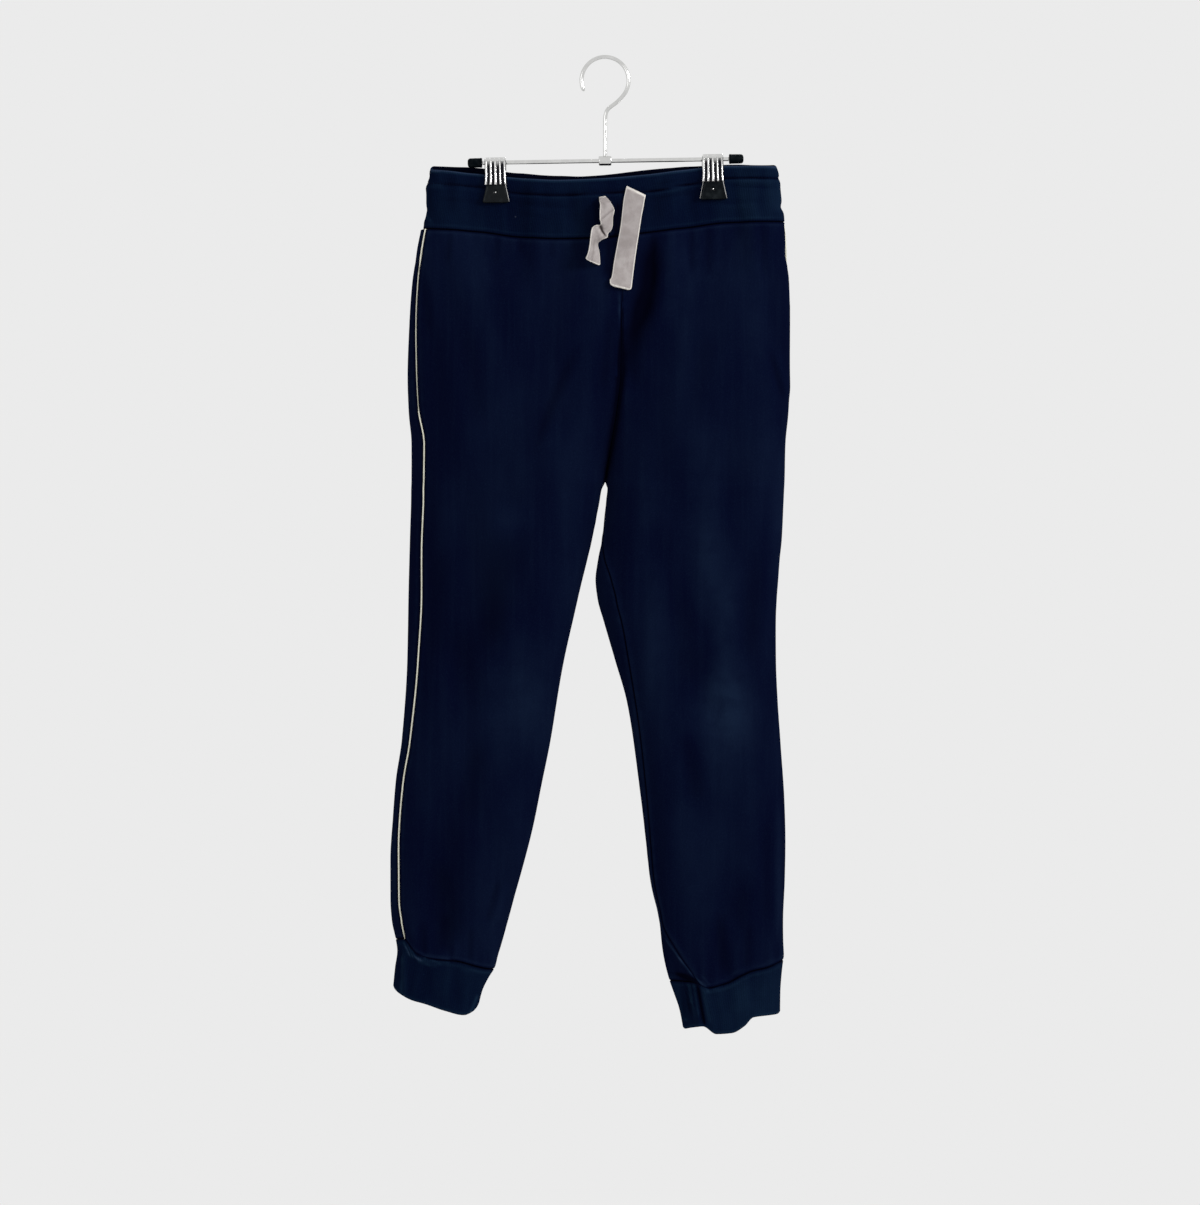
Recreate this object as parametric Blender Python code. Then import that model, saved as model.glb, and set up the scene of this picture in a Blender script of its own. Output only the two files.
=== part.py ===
"""Jogger trousers hung by the waistband from a hanger with two clips.

Metres, +Z up, +X to the viewer's right, front towards -Y. The origin is the highest point
inside the hanger's hook, where a rail carries it. Heights on the garment are drops below
the waist line. The cloth is cut as a maker cuts it: two fronts, two backs, a waistband,
two cuffs, piping in the outseams and a drawcord, each a wall through level rings.
"""

import math
from typing import NamedTuple

import bmesh
import bpy
import numpy as np
from mathutils import Matrix, Vector

# Cloth
CLOTH_WALL = 0.0020
BAND_WALL = 0.0030
CUFF_WALL = 0.0026
SEAM_GAP = 0.0003
FOLD_RADIUS = 0.0060
ROUNDEST_EDGE = 2.3

# Garment heights
WAIST_Z = -0.0995
CROTCH_DROP = 0.294
TOP_FADE = 0.090
CUFF_FADE = 0.060
CUFF_HEIGHT = 0.045
MOUTH_TOP = 0.092
MOUTH_END = 0.227
MOUTH_BLEND = 0.008

# Clips' grip on the waistband
CLIP_X = (-0.102, 0.100)
GRIPPED_HALF = 0.0037
GRIP_REACH = 0.032
GRIP_END = 0.130
GRIP_START = 0.040

# Piping
PIPING_HALF = 0.0014
PIPING_PROUD = 0.0010
MOUTH_PIPING_PROUD = 0.0004

# Hanger
HOOK_INSIDE = 0.0200
WIRE_RADIUS = 0.0019
BAR_RADIUS = 0.0020
BAR_CENTRE_Z = -0.09485
BAR_TILT = math.radians(0.88)
BAR_LEFT_END = -0.1140
BAR_RIGHT_END = 0.1150
CAP_RADIUS = 0.0047
CAP_LENGTH = 0.0135
JAW_TOP = 0.0038
BOOT_TOP = -0.0218
BOOT_HEIGHT = 0.0162
BOOT_THICKNESS = 0.0040
BOOT_TOP_WIDTH = 0.0195
BOOT_LOW_WIDTH = 0.0260
JAW_WIDTH = 0.0205
JAW_PLATE = 0.0012
SPRING_OUTER = 0.0050
SPRING_LENGTH = 0.0150

# Mesh density
DENSE = 260
PANEL_COLUMNS = 13
RISE_ROWS = 12
LEG_ROWS = 21
BAND_COLUMNS = 54
BAND_ROWS = 4
CUFF_ROWS = 4


class HipRow(NamedTuple):
    """A level above the crotch: the X of both edges and of the centre seams, and how far in
    from its edge each outseam lies on the front, or behind the edge where negative."""

    drop: float
    right_edge: float
    centre: float
    left_edge: float
    right_outseam: float
    left_outseam: float


class LegRow(NamedTuple):
    """A level of one leg below the crotch: the X of its edges, the places of its seams as in
    HipRow, and the Y of the leg's middle plane."""

    drop: float
    outer: float
    inner: float
    outseam: float
    inseam: float
    plane: float


class DepthRow(NamedTuple):
    """How far a level stands out to the front and back of its plane, and what share of
    that is left at the centre seam."""

    drop: float
    front: float
    back: float
    front_rise: float
    back_rise: float


class WaistRow(NamedTuple):
    """The waistband's lines at one X, as drops."""

    x: float
    front_top: float
    back_top: float
    seam: float


class CuffLine(NamedTuple):
    """The cuff's seam and hem at one share of its width from the outer edge, as drops."""

    across: float
    seam: float
    hem: float


class CuffEdge(NamedTuple):
    """The cuff's edges at one share of its height from the seam."""

    down: float
    outer: float
    inner: float


class Fold(NamedTuple):
    """A soft trough from its top to its low end, negative depth for a ridge."""

    face: str
    top_x: float
    top_drop: float
    low_x: float
    low_drop: float
    width: float
    depth: float


class TapeRow(NamedTuple):
    """A station along a drawcord end: centre, and turn about its own length in degrees."""

    x: float
    drop: float
    turn: float


HIPS = (
    HipRow(0.055, -0.1713, 0.0130, 0.1670, 0.0045, -0.0010),
    HipRow(0.070, -0.1744, 0.0135, 0.1678, 0.0050, -0.0002),
    HipRow(0.086, -0.1767, 0.0140, 0.1682, 0.0051, 0.0001),
    HipRow(0.106, -0.1795, 0.0145, 0.1713, 0.0057, -0.0020),
    HipRow(0.143, -0.1819, 0.0150, 0.1726, 0.0064, -0.0040),
    HipRow(0.195, -0.1834, 0.0143, 0.1725, 0.0086, -0.0060),
    HipRow(0.227, -0.1824, 0.0110, 0.1711, 0.0094, -0.0060),
    HipRow(0.259, -0.1799, 0.0058, 0.1677, 0.0122, -0.0070),
    HipRow(0.294, -0.1801, 0.0002, 0.1664, 0.0120, -0.0080),
)

RIGHT_LEG = (
    LegRow(0.300, -0.1804, -0.0028, 0.0120, 0.0000, 0.000),
    LegRow(0.311, -0.1806, -0.0049, 0.0122, 0.0000, 0.000),
    LegRow(0.348, -0.1819, -0.0117, 0.0120, -0.0030, 0.000),
    LegRow(0.403, -0.1834, -0.0254, 0.0132, -0.0060, 0.000),
    LegRow(0.459, -0.1840, -0.0381, 0.0106, -0.0080, 0.000),
    LegRow(0.534, -0.1890, -0.0508, 0.0080, -0.0080, 0.001),
    LegRow(0.571, -0.1944, -0.0582, 0.0072, -0.0080, 0.002),
    LegRow(0.608, -0.1973, -0.0656, 0.0066, -0.0080, 0.002),
    LegRow(0.645, -0.1996, -0.0749, 0.0080, -0.0080, 0.002),
    LegRow(0.683, -0.1995, -0.0852, 0.0083, -0.0080, 0.002),
    LegRow(0.714, -0.1979, -0.0966, 0.0091, -0.0080, 0.002),
    LegRow(0.733, -0.1948, -0.1031, 0.0088, -0.0080, 0.002),
)

LEFT_LEG = (
    LegRow(0.300, 0.1660, 0.0021, -0.0080, 0.0000, -0.001),
    LegRow(0.311, 0.1654, 0.0010, -0.0080, 0.0000, -0.001),
    LegRow(0.348, 0.1635, -0.0030, -0.0080, 0.0008, -0.002),
    LegRow(0.366, 0.1617, -0.0066, -0.0080, 0.0060, -0.002),
    LegRow(0.385, 0.1604, -0.0090, -0.0080, 0.0145, -0.003),
    LegRow(0.403, 0.1592, -0.0072, -0.0080, 0.0172, -0.003),
    LegRow(0.422, 0.1586, -0.0022, -0.0080, 0.0168, -0.003),
    LegRow(0.459, 0.1589, 0.0086, -0.0080, 0.0128, -0.004),
    LegRow(0.497, 0.1604, 0.0198, -0.0080, 0.0079, -0.004),
    LegRow(0.534, 0.1629, 0.0266, -0.0080, 0.0063, -0.005),
    LegRow(0.590, 0.1667, 0.0335, -0.0080, 0.0053, -0.005),
    LegRow(0.627, 0.1675, 0.0375, -0.0080, 0.0044, -0.006),
    LegRow(0.664, 0.1668, 0.0416, -0.0080, 0.0036, -0.006),
    LegRow(0.701, 0.1652, 0.0497, -0.0080, 0.0030, -0.006),
    LegRow(0.724, 0.1653, 0.0530, -0.0080, 0.0140, -0.006),
    LegRow(0.7485, 0.1655, 0.0598, -0.0080, 0.0280, -0.006),
)

DEPTHS = (
    DepthRow(0.000, 0.0085, 0.0085, 1.000, 1.000),
    DepthRow(0.052, 0.0105, 0.0110, 1.000, 1.000),
    DepthRow(0.075, 0.0140, 0.0160, 1.000, 1.000),
    DepthRow(0.106, 0.0170, 0.0210, 1.000, 1.000),
    DepthRow(0.143, 0.0195, 0.0255, 0.970, 1.000),
    DepthRow(0.190, 0.0215, 0.0280, 0.800, 0.920),
    DepthRow(0.227, 0.0225, 0.0290, 0.600, 0.750),
    DepthRow(0.259, 0.0230, 0.0290, 0.370, 0.500),
    DepthRow(0.280, 0.0225, 0.0280, 0.180, 0.250),
    DepthRow(0.294, 0.0220, 0.0270, 0.015, 0.012),
    DepthRow(0.348, 0.0210, 0.0250, 0.000, 0.000),
    DepthRow(0.459, 0.0190, 0.0210, 0.000, 0.000),
    DepthRow(0.534, 0.0180, 0.0185, 0.000, 0.000),
    DepthRow(0.608, 0.0170, 0.0170, 0.000, 0.000),
    DepthRow(0.683, 0.0155, 0.0155, 0.000, 0.000),
    DepthRow(0.749, 0.0138, 0.0138, 0.000, 0.000),
    DepthRow(0.806, 0.0120, 0.0120, 0.000, 0.000),
)

WAIST_LINES = (
    WaistRow(-0.165, 0.0033, 0.0002, 0.0580),
    WaistRow(-0.116, 0.0081, 0.0020, 0.0608),
    WaistRow(-0.082, 0.0115, 0.0062, 0.0654),
    WaistRow(-0.045, 0.0136, 0.0086, 0.0676),
    WaistRow(-0.010, 0.0125, 0.0072, 0.0668),
    WaistRow(0.040, 0.0085, 0.0027, 0.0618),
    WaistRow(0.078, 0.0035, -0.0002, 0.0567),
    WaistRow(0.115, 0.0000, -0.0010, 0.0520),
    WaistRow(0.165, 0.0008, -0.0010, 0.0512),
)

BAND_EDGES = (
    CuffEdge(0.00, -0.1622, 0.1592),
    CuffEdge(0.30, -0.1661, 0.1622),
    CuffEdge(0.65, -0.1660, 0.1644),
    CuffEdge(0.85, -0.1670, 0.1664),
    CuffEdge(1.00, -0.1692, 0.1670),
)

RIGHT_CUFF_LINES = (
    CuffLine(0.00, 0.7190, 0.7650),
    CuffLine(0.08, 0.7180, 0.7695),
    CuffLine(0.22, 0.7320, 0.7750),
    CuffLine(0.38, 0.7365, 0.7785),
    CuffLine(0.62, 0.7385, 0.7850),
    CuffLine(0.84, 0.7440, 0.7890),
    CuffLine(0.93, 0.7460, 0.7865),
    CuffLine(1.00, 0.7468, 0.7820),
)

LEFT_CUFF_LINES = (
    CuffLine(0.00, 0.7377, 0.7875),
    CuffLine(0.14, 0.7438, 0.7885),
    CuffLine(0.28, 0.7472, 0.7900),
    CuffLine(0.37, 0.7514, 0.7980),
    CuffLine(0.50, 0.7585, 0.8045),
    CuffLine(0.66, 0.7625, 0.8055),
    CuffLine(0.80, 0.7575, 0.7985),
    CuffLine(1.00, 0.7567, 0.8025),
)

RIGHT_CUFF_EDGES = (
    CuffEdge(0.00, -0.1948, -0.1031),
    CuffEdge(0.25, -0.1935, -0.1085),
    CuffEdge(0.60, -0.1955, -0.1142),
    CuffEdge(1.00, -0.1972, -0.1178),
)

LEFT_CUFF_EDGES = (
    CuffEdge(0.00, 0.1655, 0.0598),
    CuffEdge(0.30, 0.1640, 0.0645),
    CuffEdge(0.60, 0.1630, 0.0690),
    CuffEdge(1.00, 0.1626, 0.0723),
)

FOLDS = (
    Fold("front", 0.050, 0.066, 0.030, 0.155, 0.0140, 0.0040),
    Fold("front", 0.036, 0.130, 0.014, 0.215, 0.0130, 0.0045),
    Fold("front", -0.018, 0.165, -0.058, 0.262, 0.0120, 0.0020),
    Fold("front", -0.150, 0.420, -0.105, 0.520, 0.0160, 0.0022),
    Fold("front", 0.060, 0.430, 0.110, 0.540, 0.0160, 0.0024),
    Fold("front", -0.160, 0.640, -0.135, 0.735, 0.0110, 0.0030),
    Fold("front", 0.128, 0.650, 0.112, 0.765, 0.0110, 0.0035),
    Fold("back", 0.045, 0.075, 0.018, 0.190, 0.0150, 0.0040),
    Fold("back", -0.040, 0.075, -0.010, 0.180, 0.0150, 0.0035),
    Fold("back", -0.070, 0.270, -0.140, 0.330, 0.0150, 0.0040),
    Fold("back", 0.060, 0.275, 0.125, 0.340, 0.0150, 0.0040),
    Fold("back", -0.080, 0.440, -0.150, 0.500, 0.0150, 0.0035),
    Fold("back", 0.055, 0.450, 0.130, 0.505, 0.0150, 0.0035),
    Fold("back", -0.150, 0.650, -0.160, 0.735, 0.0110, 0.0030),
    Fold("back", 0.115, 0.650, 0.120, 0.755, 0.0110, 0.0030),
)
FOLD_ENDS = 0.30
FOLD_LIMIT = 0.55

# The left leg's front steps back towards its inner edge, from just above the cuff.
STEP_LINE = ((0.700, 0.052), (0.729, 0.070), (0.757, 0.0885), (0.776, 0.0870), (0.806, 0.0875))
STEP_DEPTH = 0.0060
STEP_WIDTH = 0.0090
STEP_START = 0.705
STEP_FULL = 0.748

TAPE_WIDTH = 0.0195
TAPE_THICKNESS = 0.0014
# The wearer's left end hangs flat and the right end hangs twisted.
FLAT_END = (
    TapeRow(0.0292, 0.0225, 0.0),
    TapeRow(0.0280, 0.0340, 2.0),
    TapeRow(0.0262, 0.0500, 3.0),
    TapeRow(0.0240, 0.0660, 2.0),
    TapeRow(0.0218, 0.0820, 0.0),
    TapeRow(0.0190, 0.0990, -3.0),
    TapeRow(0.0150, 0.1145, -4.0),
)
TWISTED_END = (
    TapeRow(-0.0010, 0.0300, 62.0),
    TapeRow(0.0012, 0.0370, 56.0),
    TapeRow(0.0022, 0.0450, 50.0),
    TapeRow(0.0014, 0.0530, 48.0),
    TapeRow(-0.0022, 0.0610, 40.0),
    TapeRow(-0.0058, 0.0690, 44.0),
    TapeRow(-0.0088, 0.0770, 54.0),
    TapeRow(-0.0102, 0.0840, 46.0),
    TapeRow(-0.0118, 0.0910, 40.0),
)


def clear_scene():
    for thing in list(bpy.data.objects):
        bpy.data.objects.remove(thing, do_unlink=True)


def material(name, colour, roughness, metallic=0.0):
    made = bpy.data.materials.new(name)
    made.use_nodes = True
    shader = made.node_tree.nodes["Principled BSDF"]
    shader.inputs["Base Color"].default_value = (*colour, 1.0)
    shader.inputs["Roughness"].default_value = roughness
    shader.inputs["Metallic"].default_value = metallic
    return made


def column(rows, name):
    return [getattr(row, name) for row in rows]


def curve(places, values):
    """A smooth curve through the values that never swings past them."""
    places = np.asarray(places, dtype=float)
    values = np.asarray(values, dtype=float)
    steps = np.diff(places)
    rises = np.diff(values) / steps
    slopes = np.zeros_like(values)
    slopes[0], slopes[-1] = rises[0], rises[-1]
    for i in range(1, len(values) - 1):
        if rises[i - 1] * rises[i] > 0:
            slopes[i] = 2.0 * rises[i - 1] * rises[i] / (rises[i - 1] + rises[i])

    def value(place):
        place = np.clip(place, places[0], places[-1])
        i = np.clip(np.searchsorted(places, place, side="right") - 1, 0, len(steps) - 1)
        t = (place - places[i]) / steps[i]
        low = (1 + 2 * t) * (1 - t) ** 2 * values[i] + t * (1 - t) ** 2 * steps[i] * slopes[i]
        high = t * t * (3 - 2 * t) * values[i + 1] - t * t * (1 - t) * steps[i] * slopes[i + 1]
        return low + high

    return value


def table(rows, key, name):
    return curve(column(rows, key), column(rows, name))


def ease(start, end, place):
    """0 before start, 1 after end, smooth between."""
    t = np.clip((place - start) / (end - start), 0.0, 1.0)
    return t * t * (3.0 - 2.0 * t)


centre_at = table(HIPS, "drop", "centre")
depth_at = {name: table(DEPTHS, "drop", name) for name in DepthRow._fields[1:]}
waist_at = {name: table(WAIST_LINES, "x", name) for name in WaistRow._fields[1:]}
step_at = curve(*zip(*STEP_LINE))


def grip(x, drop):
    """How fully the clips hold front and back together, from 0 to 1."""
    hold = sum(np.exp(-((x - clip) / GRIP_REACH) ** 6) for clip in CLIP_X)
    return hold * (1.0 - ease(GRIP_START, GRIP_END, drop))


def fold_depth(face, x, drop):
    """How far the face's folds push its cloth inwards."""
    total = np.zeros_like(x)
    for fold in FOLDS:
        if fold.face != face:
            continue
        run = Vector((fold.low_x - fold.top_x, fold.low_drop - fold.top_drop))
        length = run.length
        along = ((x - fold.top_x) * run.x + (drop - fold.top_drop) * run.y) / length ** 2
        aside = ((x - fold.top_x) * run.y - (drop - fold.top_drop) * run.x) / length
        ends = ease(0.0, FOLD_ENDS, along) * (1.0 - ease(1.0 - FOLD_ENDS, 1.0, along))
        total = total + fold.depth * ends * np.exp(-(aside / fold.width) ** 2)
    return total


def half_depth(face, across, half_width, drop, x):
    """The cloth's distance from its plane. across runs from -1 at the outer edge to 1 at
    the inner edge, or at the centre seam above the crotch."""
    full = depth_at[face](drop)
    rise = depth_at[face + "_rise"](drop) if drop <= CROTCH_DROP else 0.0
    edge = max(ROUNDEST_EDGE, 2.0 * half_width * FOLD_RADIUS / full ** 2)
    round_off = np.clip(1.0 - np.abs(across) ** edge, 0.0, 1.0)
    outer_half = full * np.sqrt(round_off)
    inner_half = full * (rise + (1.0 - rise) * round_off ** (0.5 + rise))
    depth = np.where(across < 0.0, outer_half, inner_half)
    share = depth / full
    gripped = np.minimum(depth, GRIPPED_HALF * share ** 0.5)
    held = grip(x, drop)
    depth = depth * (1.0 - held) + gripped * held
    push = fold_depth(face, x, drop) * np.minimum(1.0, share * 1.4)
    return depth - np.minimum(push, FOLD_LIMIT * depth)


def left_step(x, drop):
    """How far the left leg's front steps back beside its cuff's fold."""
    reach = ease(STEP_START, STEP_FULL, drop)
    return STEP_DEPTH * reach * (1.0 - ease(step_at(drop) - STEP_WIDTH, step_at(drop), x))


class Ring:
    """Level rings of one leg. turn runs from 0 at the inner edge's front over the front to
    pi at the outer edge and over the back to 2 pi."""

    def __init__(self, side_name, leg_rows, cuff_lines, cuff_edges):
        rows = [
            LegRow(hip.drop, getattr(hip, side_name + "_edge"), hip.centre,
                   getattr(hip, side_name + "_outseam"), 0.0, 0.0)
            for hip in HIPS
        ]
        rows.extend(leg_rows)
        self.is_left = side_name == "left"
        self.at = {name: table(rows, "drop", name) for name in LegRow._fields[1:]}
        self.line = {name: table(cuff_lines, "across", name) for name in ("seam", "hem")}
        self.edge = {name: table(cuff_edges, "down", name) for name in ("outer", "inner")}
        self.top = rows[0].drop
        self.low = rows[-1].drop

    def edges(self, level):
        """X of the outer and the inner edge."""
        inner = centre_at(level) if level <= CROTCH_DROP else self.at["inner"](level)
        return float(self.at["outer"](level)), float(inner)

    def section(self, turn, level, outer, inner):
        """X, Y and across on the ring with these edges."""
        middle = 0.5 * (outer + inner)
        half = 0.5 * (inner - outer)
        across = np.cos(turn)
        x = middle + half * across
        on_front = np.sin(turn) >= 0.0
        front = half_depth("front", across, abs(half), level, x)
        back = half_depth("back", across, abs(half), level, x)
        if self.is_left:
            front = front - np.minimum(left_step(x, level), 0.8 * front)
        plane = self.at["plane"](level)
        return x, plane + np.where(on_front, -front, back), across

    def drop_at(self, level, x, across):
        """The true drop of a point, with the waist's and the cuff's seam lines."""
        waist = waist_at["seam"](x) + 0.5 * SEAM_GAP - self.top
        cuff = self.line["seam"](0.5 + 0.5 * across) - 0.5 * SEAM_GAP - self.low
        near_waist = 1.0 - ease(self.top, self.top + TOP_FADE, level)
        near_cuff = ease(self.low - CUFF_FADE, self.low, level)
        return level + waist * near_waist + cuff * near_cuff

    def seams(self, level):
        """The turns of the inseam and the outseam."""
        outer, inner = self.edges(level)
        half = 0.5 * abs(inner - outer)
        out = float(self.at["outseam"](level))
        inside = float(self.at["inseam"](level)) if level > CROTCH_DROP else 0.0
        out_turn = math.pi - math.copysign(math.acos(1.0 - abs(out) / half), out)
        in_turn = math.copysign(math.acos(1.0 - abs(inside) / half), inside)
        return in_turn, out_turn


def walk(points, normals_side):
    """Arc lengths, tangents and normals along a level line of points."""
    tangent = np.gradient(points, axis=0)
    size = np.linalg.norm(tangent, axis=1)
    tangent = tangent / size[:, None]
    normals = np.stack([tangent[:, 1], -tangent[:, 0]], axis=1) * normals_side
    lengths = np.concatenate([[0.0], np.cumsum(np.linalg.norm(np.diff(points, axis=0), axis=1))])
    return lengths, tangent, normals


def spread(lengths, tangent, start, end, count):
    """Arc lengths from start to end, closer together where the line bends."""
    bend = np.linalg.norm(np.gradient(tangent, axis=0), axis=1)
    weight = np.diff(lengths, prepend=0.0) + 0.010 * bend
    running = np.cumsum(weight)
    ends = np.interp([start, end], lengths, running)
    return np.interp(np.linspace(ends[0], ends[1], count + 1), running, lengths)


def column_turns(ring, level, face, clear_in, clear_out):
    """The turns of a panel's columns at one level, from inseam to outseam."""
    in_turn, out_turn = ring.seams(level)
    start = in_turn if face == "front" else in_turn + 2.0 * math.pi
    turns = np.linspace(start, out_turn, DENSE)
    x, y, _ = ring.section(turns, level, *ring.edges(level))
    lengths, tangent, _ = walk(np.stack([x, y], axis=1), 1.0)
    spots = spread(lengths, tangent, clear_in, lengths[-1] - clear_out, PANEL_COLUMNS)
    return np.interp(spots, lengths, turns)


def wall_points(ring, turns, level, edges, wall):
    """Outer and inner points of a wall at these turns, as (x, y), and their across."""
    nudge = 0.0005
    x, y, across = ring.section(turns, level, *edges)
    ahead_x, ahead_y, _ = ring.section(turns + nudge, level, *edges)
    behind_x, behind_y, _ = ring.section(turns - nudge, level, *edges)
    tangent = np.stack([ahead_x - behind_x, ahead_y - behind_y], axis=1)
    tangent = tangent / np.linalg.norm(tangent, axis=1)[:, None]
    side = 1.0 if ring.is_left else -1.0
    outer = np.stack([x, y], axis=1)
    inner = outer - wall * side * np.stack([tangent[:, 1], -tangent[:, 0]], axis=1)
    return outer, inner, across


def panel_row(ring, level, face, clear_in, clear_out):
    """Outer and inner points of one panel at one level, from inseam to outseam."""
    turns = column_turns(ring, level, face, clear_in, clear_out)
    outer, inner, across = wall_points(ring, turns, level, ring.edges(level), CLOTH_WALL)
    drops = ring.drop_at(level, outer[:, 0], across)
    return ([(*point, -drop) for point, drop in zip(outer, drops)],
            [(*point, -drop) for point, drop in zip(inner, drops)])


def grid_solid(name, outer_rows, inner_rows, look, closed=False):
    """A closed wall between two grids of points, which join up round a tube if closed."""
    mesh = bmesh.new()
    outer = [[mesh.verts.new(point) for point in row] for row in outer_rows]
    inner = [[mesh.verts.new(point) for point in row] for row in inner_rows]
    width = len(outer[0])
    last = width if closed else width - 1
    for r in range(len(outer) - 1):
        for c in range(last):
            d = (c + 1) % width
            mesh.faces.new((outer[r][c], outer[r + 1][c], outer[r + 1][d], outer[r][d]))
            mesh.faces.new((inner[r][c], inner[r][d], inner[r + 1][d], inner[r + 1][c]))
    for r, flip in ((0, False), (len(outer) - 1, True)):
        for c in range(last):
            d = (c + 1) % width
            rim = [outer[r][c], outer[r][d], inner[r][d], inner[r][c]]
            mesh.faces.new(rim[::-1] if flip else rim)
    if not closed:
        for c, flip in ((0, False), (width - 1, True)):
            for r in range(len(outer) - 1):
                side = [outer[r][c], inner[r][c], inner[r + 1][c], outer[r + 1][c]]
                mesh.faces.new(side[::-1] if flip else side)
    return finish_mesh(name, mesh, look)


def finish_mesh(name, mesh, look, flat=False):
    bmesh.ops.recalc_face_normals(mesh, faces=mesh.faces)
    data = bpy.data.meshes.new(name)
    mesh.to_mesh(data)
    mesh.free()
    data.materials.append(look)
    thing = bpy.data.objects.new(name, data)
    bpy.context.scene.collection.objects.link(thing)
    if not flat:
        data.shade_smooth()
        data.set_sharp_from_angle(angle=math.radians(40.0))
    return thing


def levels(ring):
    rise = np.linspace(ring.top, CROTCH_DROP, RISE_ROWS + 1)
    leg = np.linspace(CROTCH_DROP, ring.low, LEG_ROWS + 1)
    return np.concatenate([rise, leg[1:]])


def make_panel(name, ring, face, look):
    """One front or back, from the waistband to the cuff."""
    outer_rows, inner_rows = [], []
    clear_out = PIPING_HALF + SEAM_GAP
    for level in levels(ring):
        outer, inner = panel_row(ring, level, face, 0.5 * SEAM_GAP, clear_out)
        outer_rows.append(outer)
        inner_rows.append(inner)
    return grid_solid(name, outer_rows, inner_rows, look)


def turns_beside(ring, level, turn, reaches):
    """The turns that lie these short ways along the ring from one turn."""
    turns = np.linspace(turn - 0.4, turn + 0.4, DENSE + 1)
    x, y, _ = ring.section(turns, level, *ring.edges(level))
    lengths, _, _ = walk(np.stack([x, y], axis=1), 1.0)
    return np.interp(lengths[DENSE // 2] + np.array(reaches), lengths, turns)


def make_piping(name, ring, look):
    """The bead in one outseam, lower along the pocket's mouth."""
    rows = []
    for level in levels(ring):
        _, out_turn = ring.seams(level)
        reaches = (-PIPING_HALF, -0.55 * PIPING_HALF, 0.55 * PIPING_HALF, PIPING_HALF)
        turns = turns_beside(ring, level, out_turn, reaches)
        outer, inner, across = wall_points(ring, turns, level, ring.edges(level), CLOTH_WALL)
        in_mouth = ease(MOUTH_TOP - MOUTH_BLEND, MOUTH_TOP, level)
        in_mouth = in_mouth * (1.0 - ease(MOUTH_END, MOUTH_END + MOUTH_BLEND, level))
        proud = PIPING_PROUD + (MOUTH_PIPING_PROUD - PIPING_PROUD) * in_mouth
        drops = ring.drop_at(level, outer[:, 0], across)[[0, 1, 2, 3, 3, 0]]
        inwards = (inner - outer) / CLOTH_WALL
        sinks = np.array([0.1 * CLOTH_WALL, -proud, -proud, 0.1 * CLOTH_WALL])
        crown = outer + sinks[:, None] * inwards
        root = outer[[3, 0]] + 0.8 * CLOTH_WALL * inwards[[3, 0]]
        points = np.concatenate([crown, root])
        rows.append([(*point, -drop) for point, drop in zip(points, drops)])
    return tube_solid(name, rows, look)


def tube_solid(name, rings, look, flat=False):
    """A solid through rings of points, with a face on each end."""
    mesh = bmesh.new()
    made = [[mesh.verts.new(point) for point in ring] for ring in rings]
    count = len(made[0])
    for low, high in zip(made, made[1:]):
        for i in range(count):
            j = (i + 1) % count
            mesh.faces.new((low[i], low[j], high[j], high[i]))
    mesh.faces.new(made[0][::-1])
    mesh.faces.new(made[-1])
    return finish_mesh(name, mesh, look, flat)


def band_section(turns, level, down):
    """X, Y of the waistband's ring, from 0 at the left edge over the front to pi."""
    left, right = (float(table(BAND_EDGES, "down", n)(down)) for n in ("inner", "outer"))
    middle, half = 0.5 * (left + right), 0.5 * (left - right)
    across = np.cos(turns)
    x = middle + half * across
    sides = {}
    for face in ("front", "back"):
        sides[face] = half_depth(face, -np.abs(across), half, level, x)
    return x, np.where(np.sin(turns) >= 0.0, -sides["front"], sides["back"])


def make_band(look):
    """The waistband, a closed ring in one piece."""
    outer_rows, inner_rows = [], []
    turns = np.linspace(0.0, 2.0 * math.pi, 4 * DENSE)
    for row in range(BAND_ROWS + 1):
        down = row / BAND_ROWS
        x, y = band_section(turns, 0.052 * down, down)
        line = np.stack([x, y], axis=1)
        lengths, tangent, normals = walk(line, -1.0)
        normals[0] = normals[-1] = (1.0, 0.0)
        spots = spread(lengths, tangent, 0.0, lengths[-1], BAND_COLUMNS)[:-1]
        outer, inner = [], []
        for spot in spots:
            px, py = (np.interp(spot, lengths, line[:, k]) for k in range(2))
            out = np.array([np.interp(spot, lengths, normals[:, k]) for k in range(2)])
            out = out / np.linalg.norm(out)
            behind = ease(-0.005, 0.005, py)
            top = waist_at["front_top"](px) * (1.0 - behind) + waist_at["back_top"](px) * behind
            low = waist_at["seam"](px) - 0.5 * SEAM_GAP
            drop = top + (low - top) * down
            outer.append((px, py, -drop))
            inner.append((px - BAND_WALL * out[0], py - BAND_WALL * out[1], -drop))
        outer_rows.append(outer)
        inner_rows.append(inner)
    return grid_solid("waistband", outer_rows, inner_rows, look, closed=True)


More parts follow.
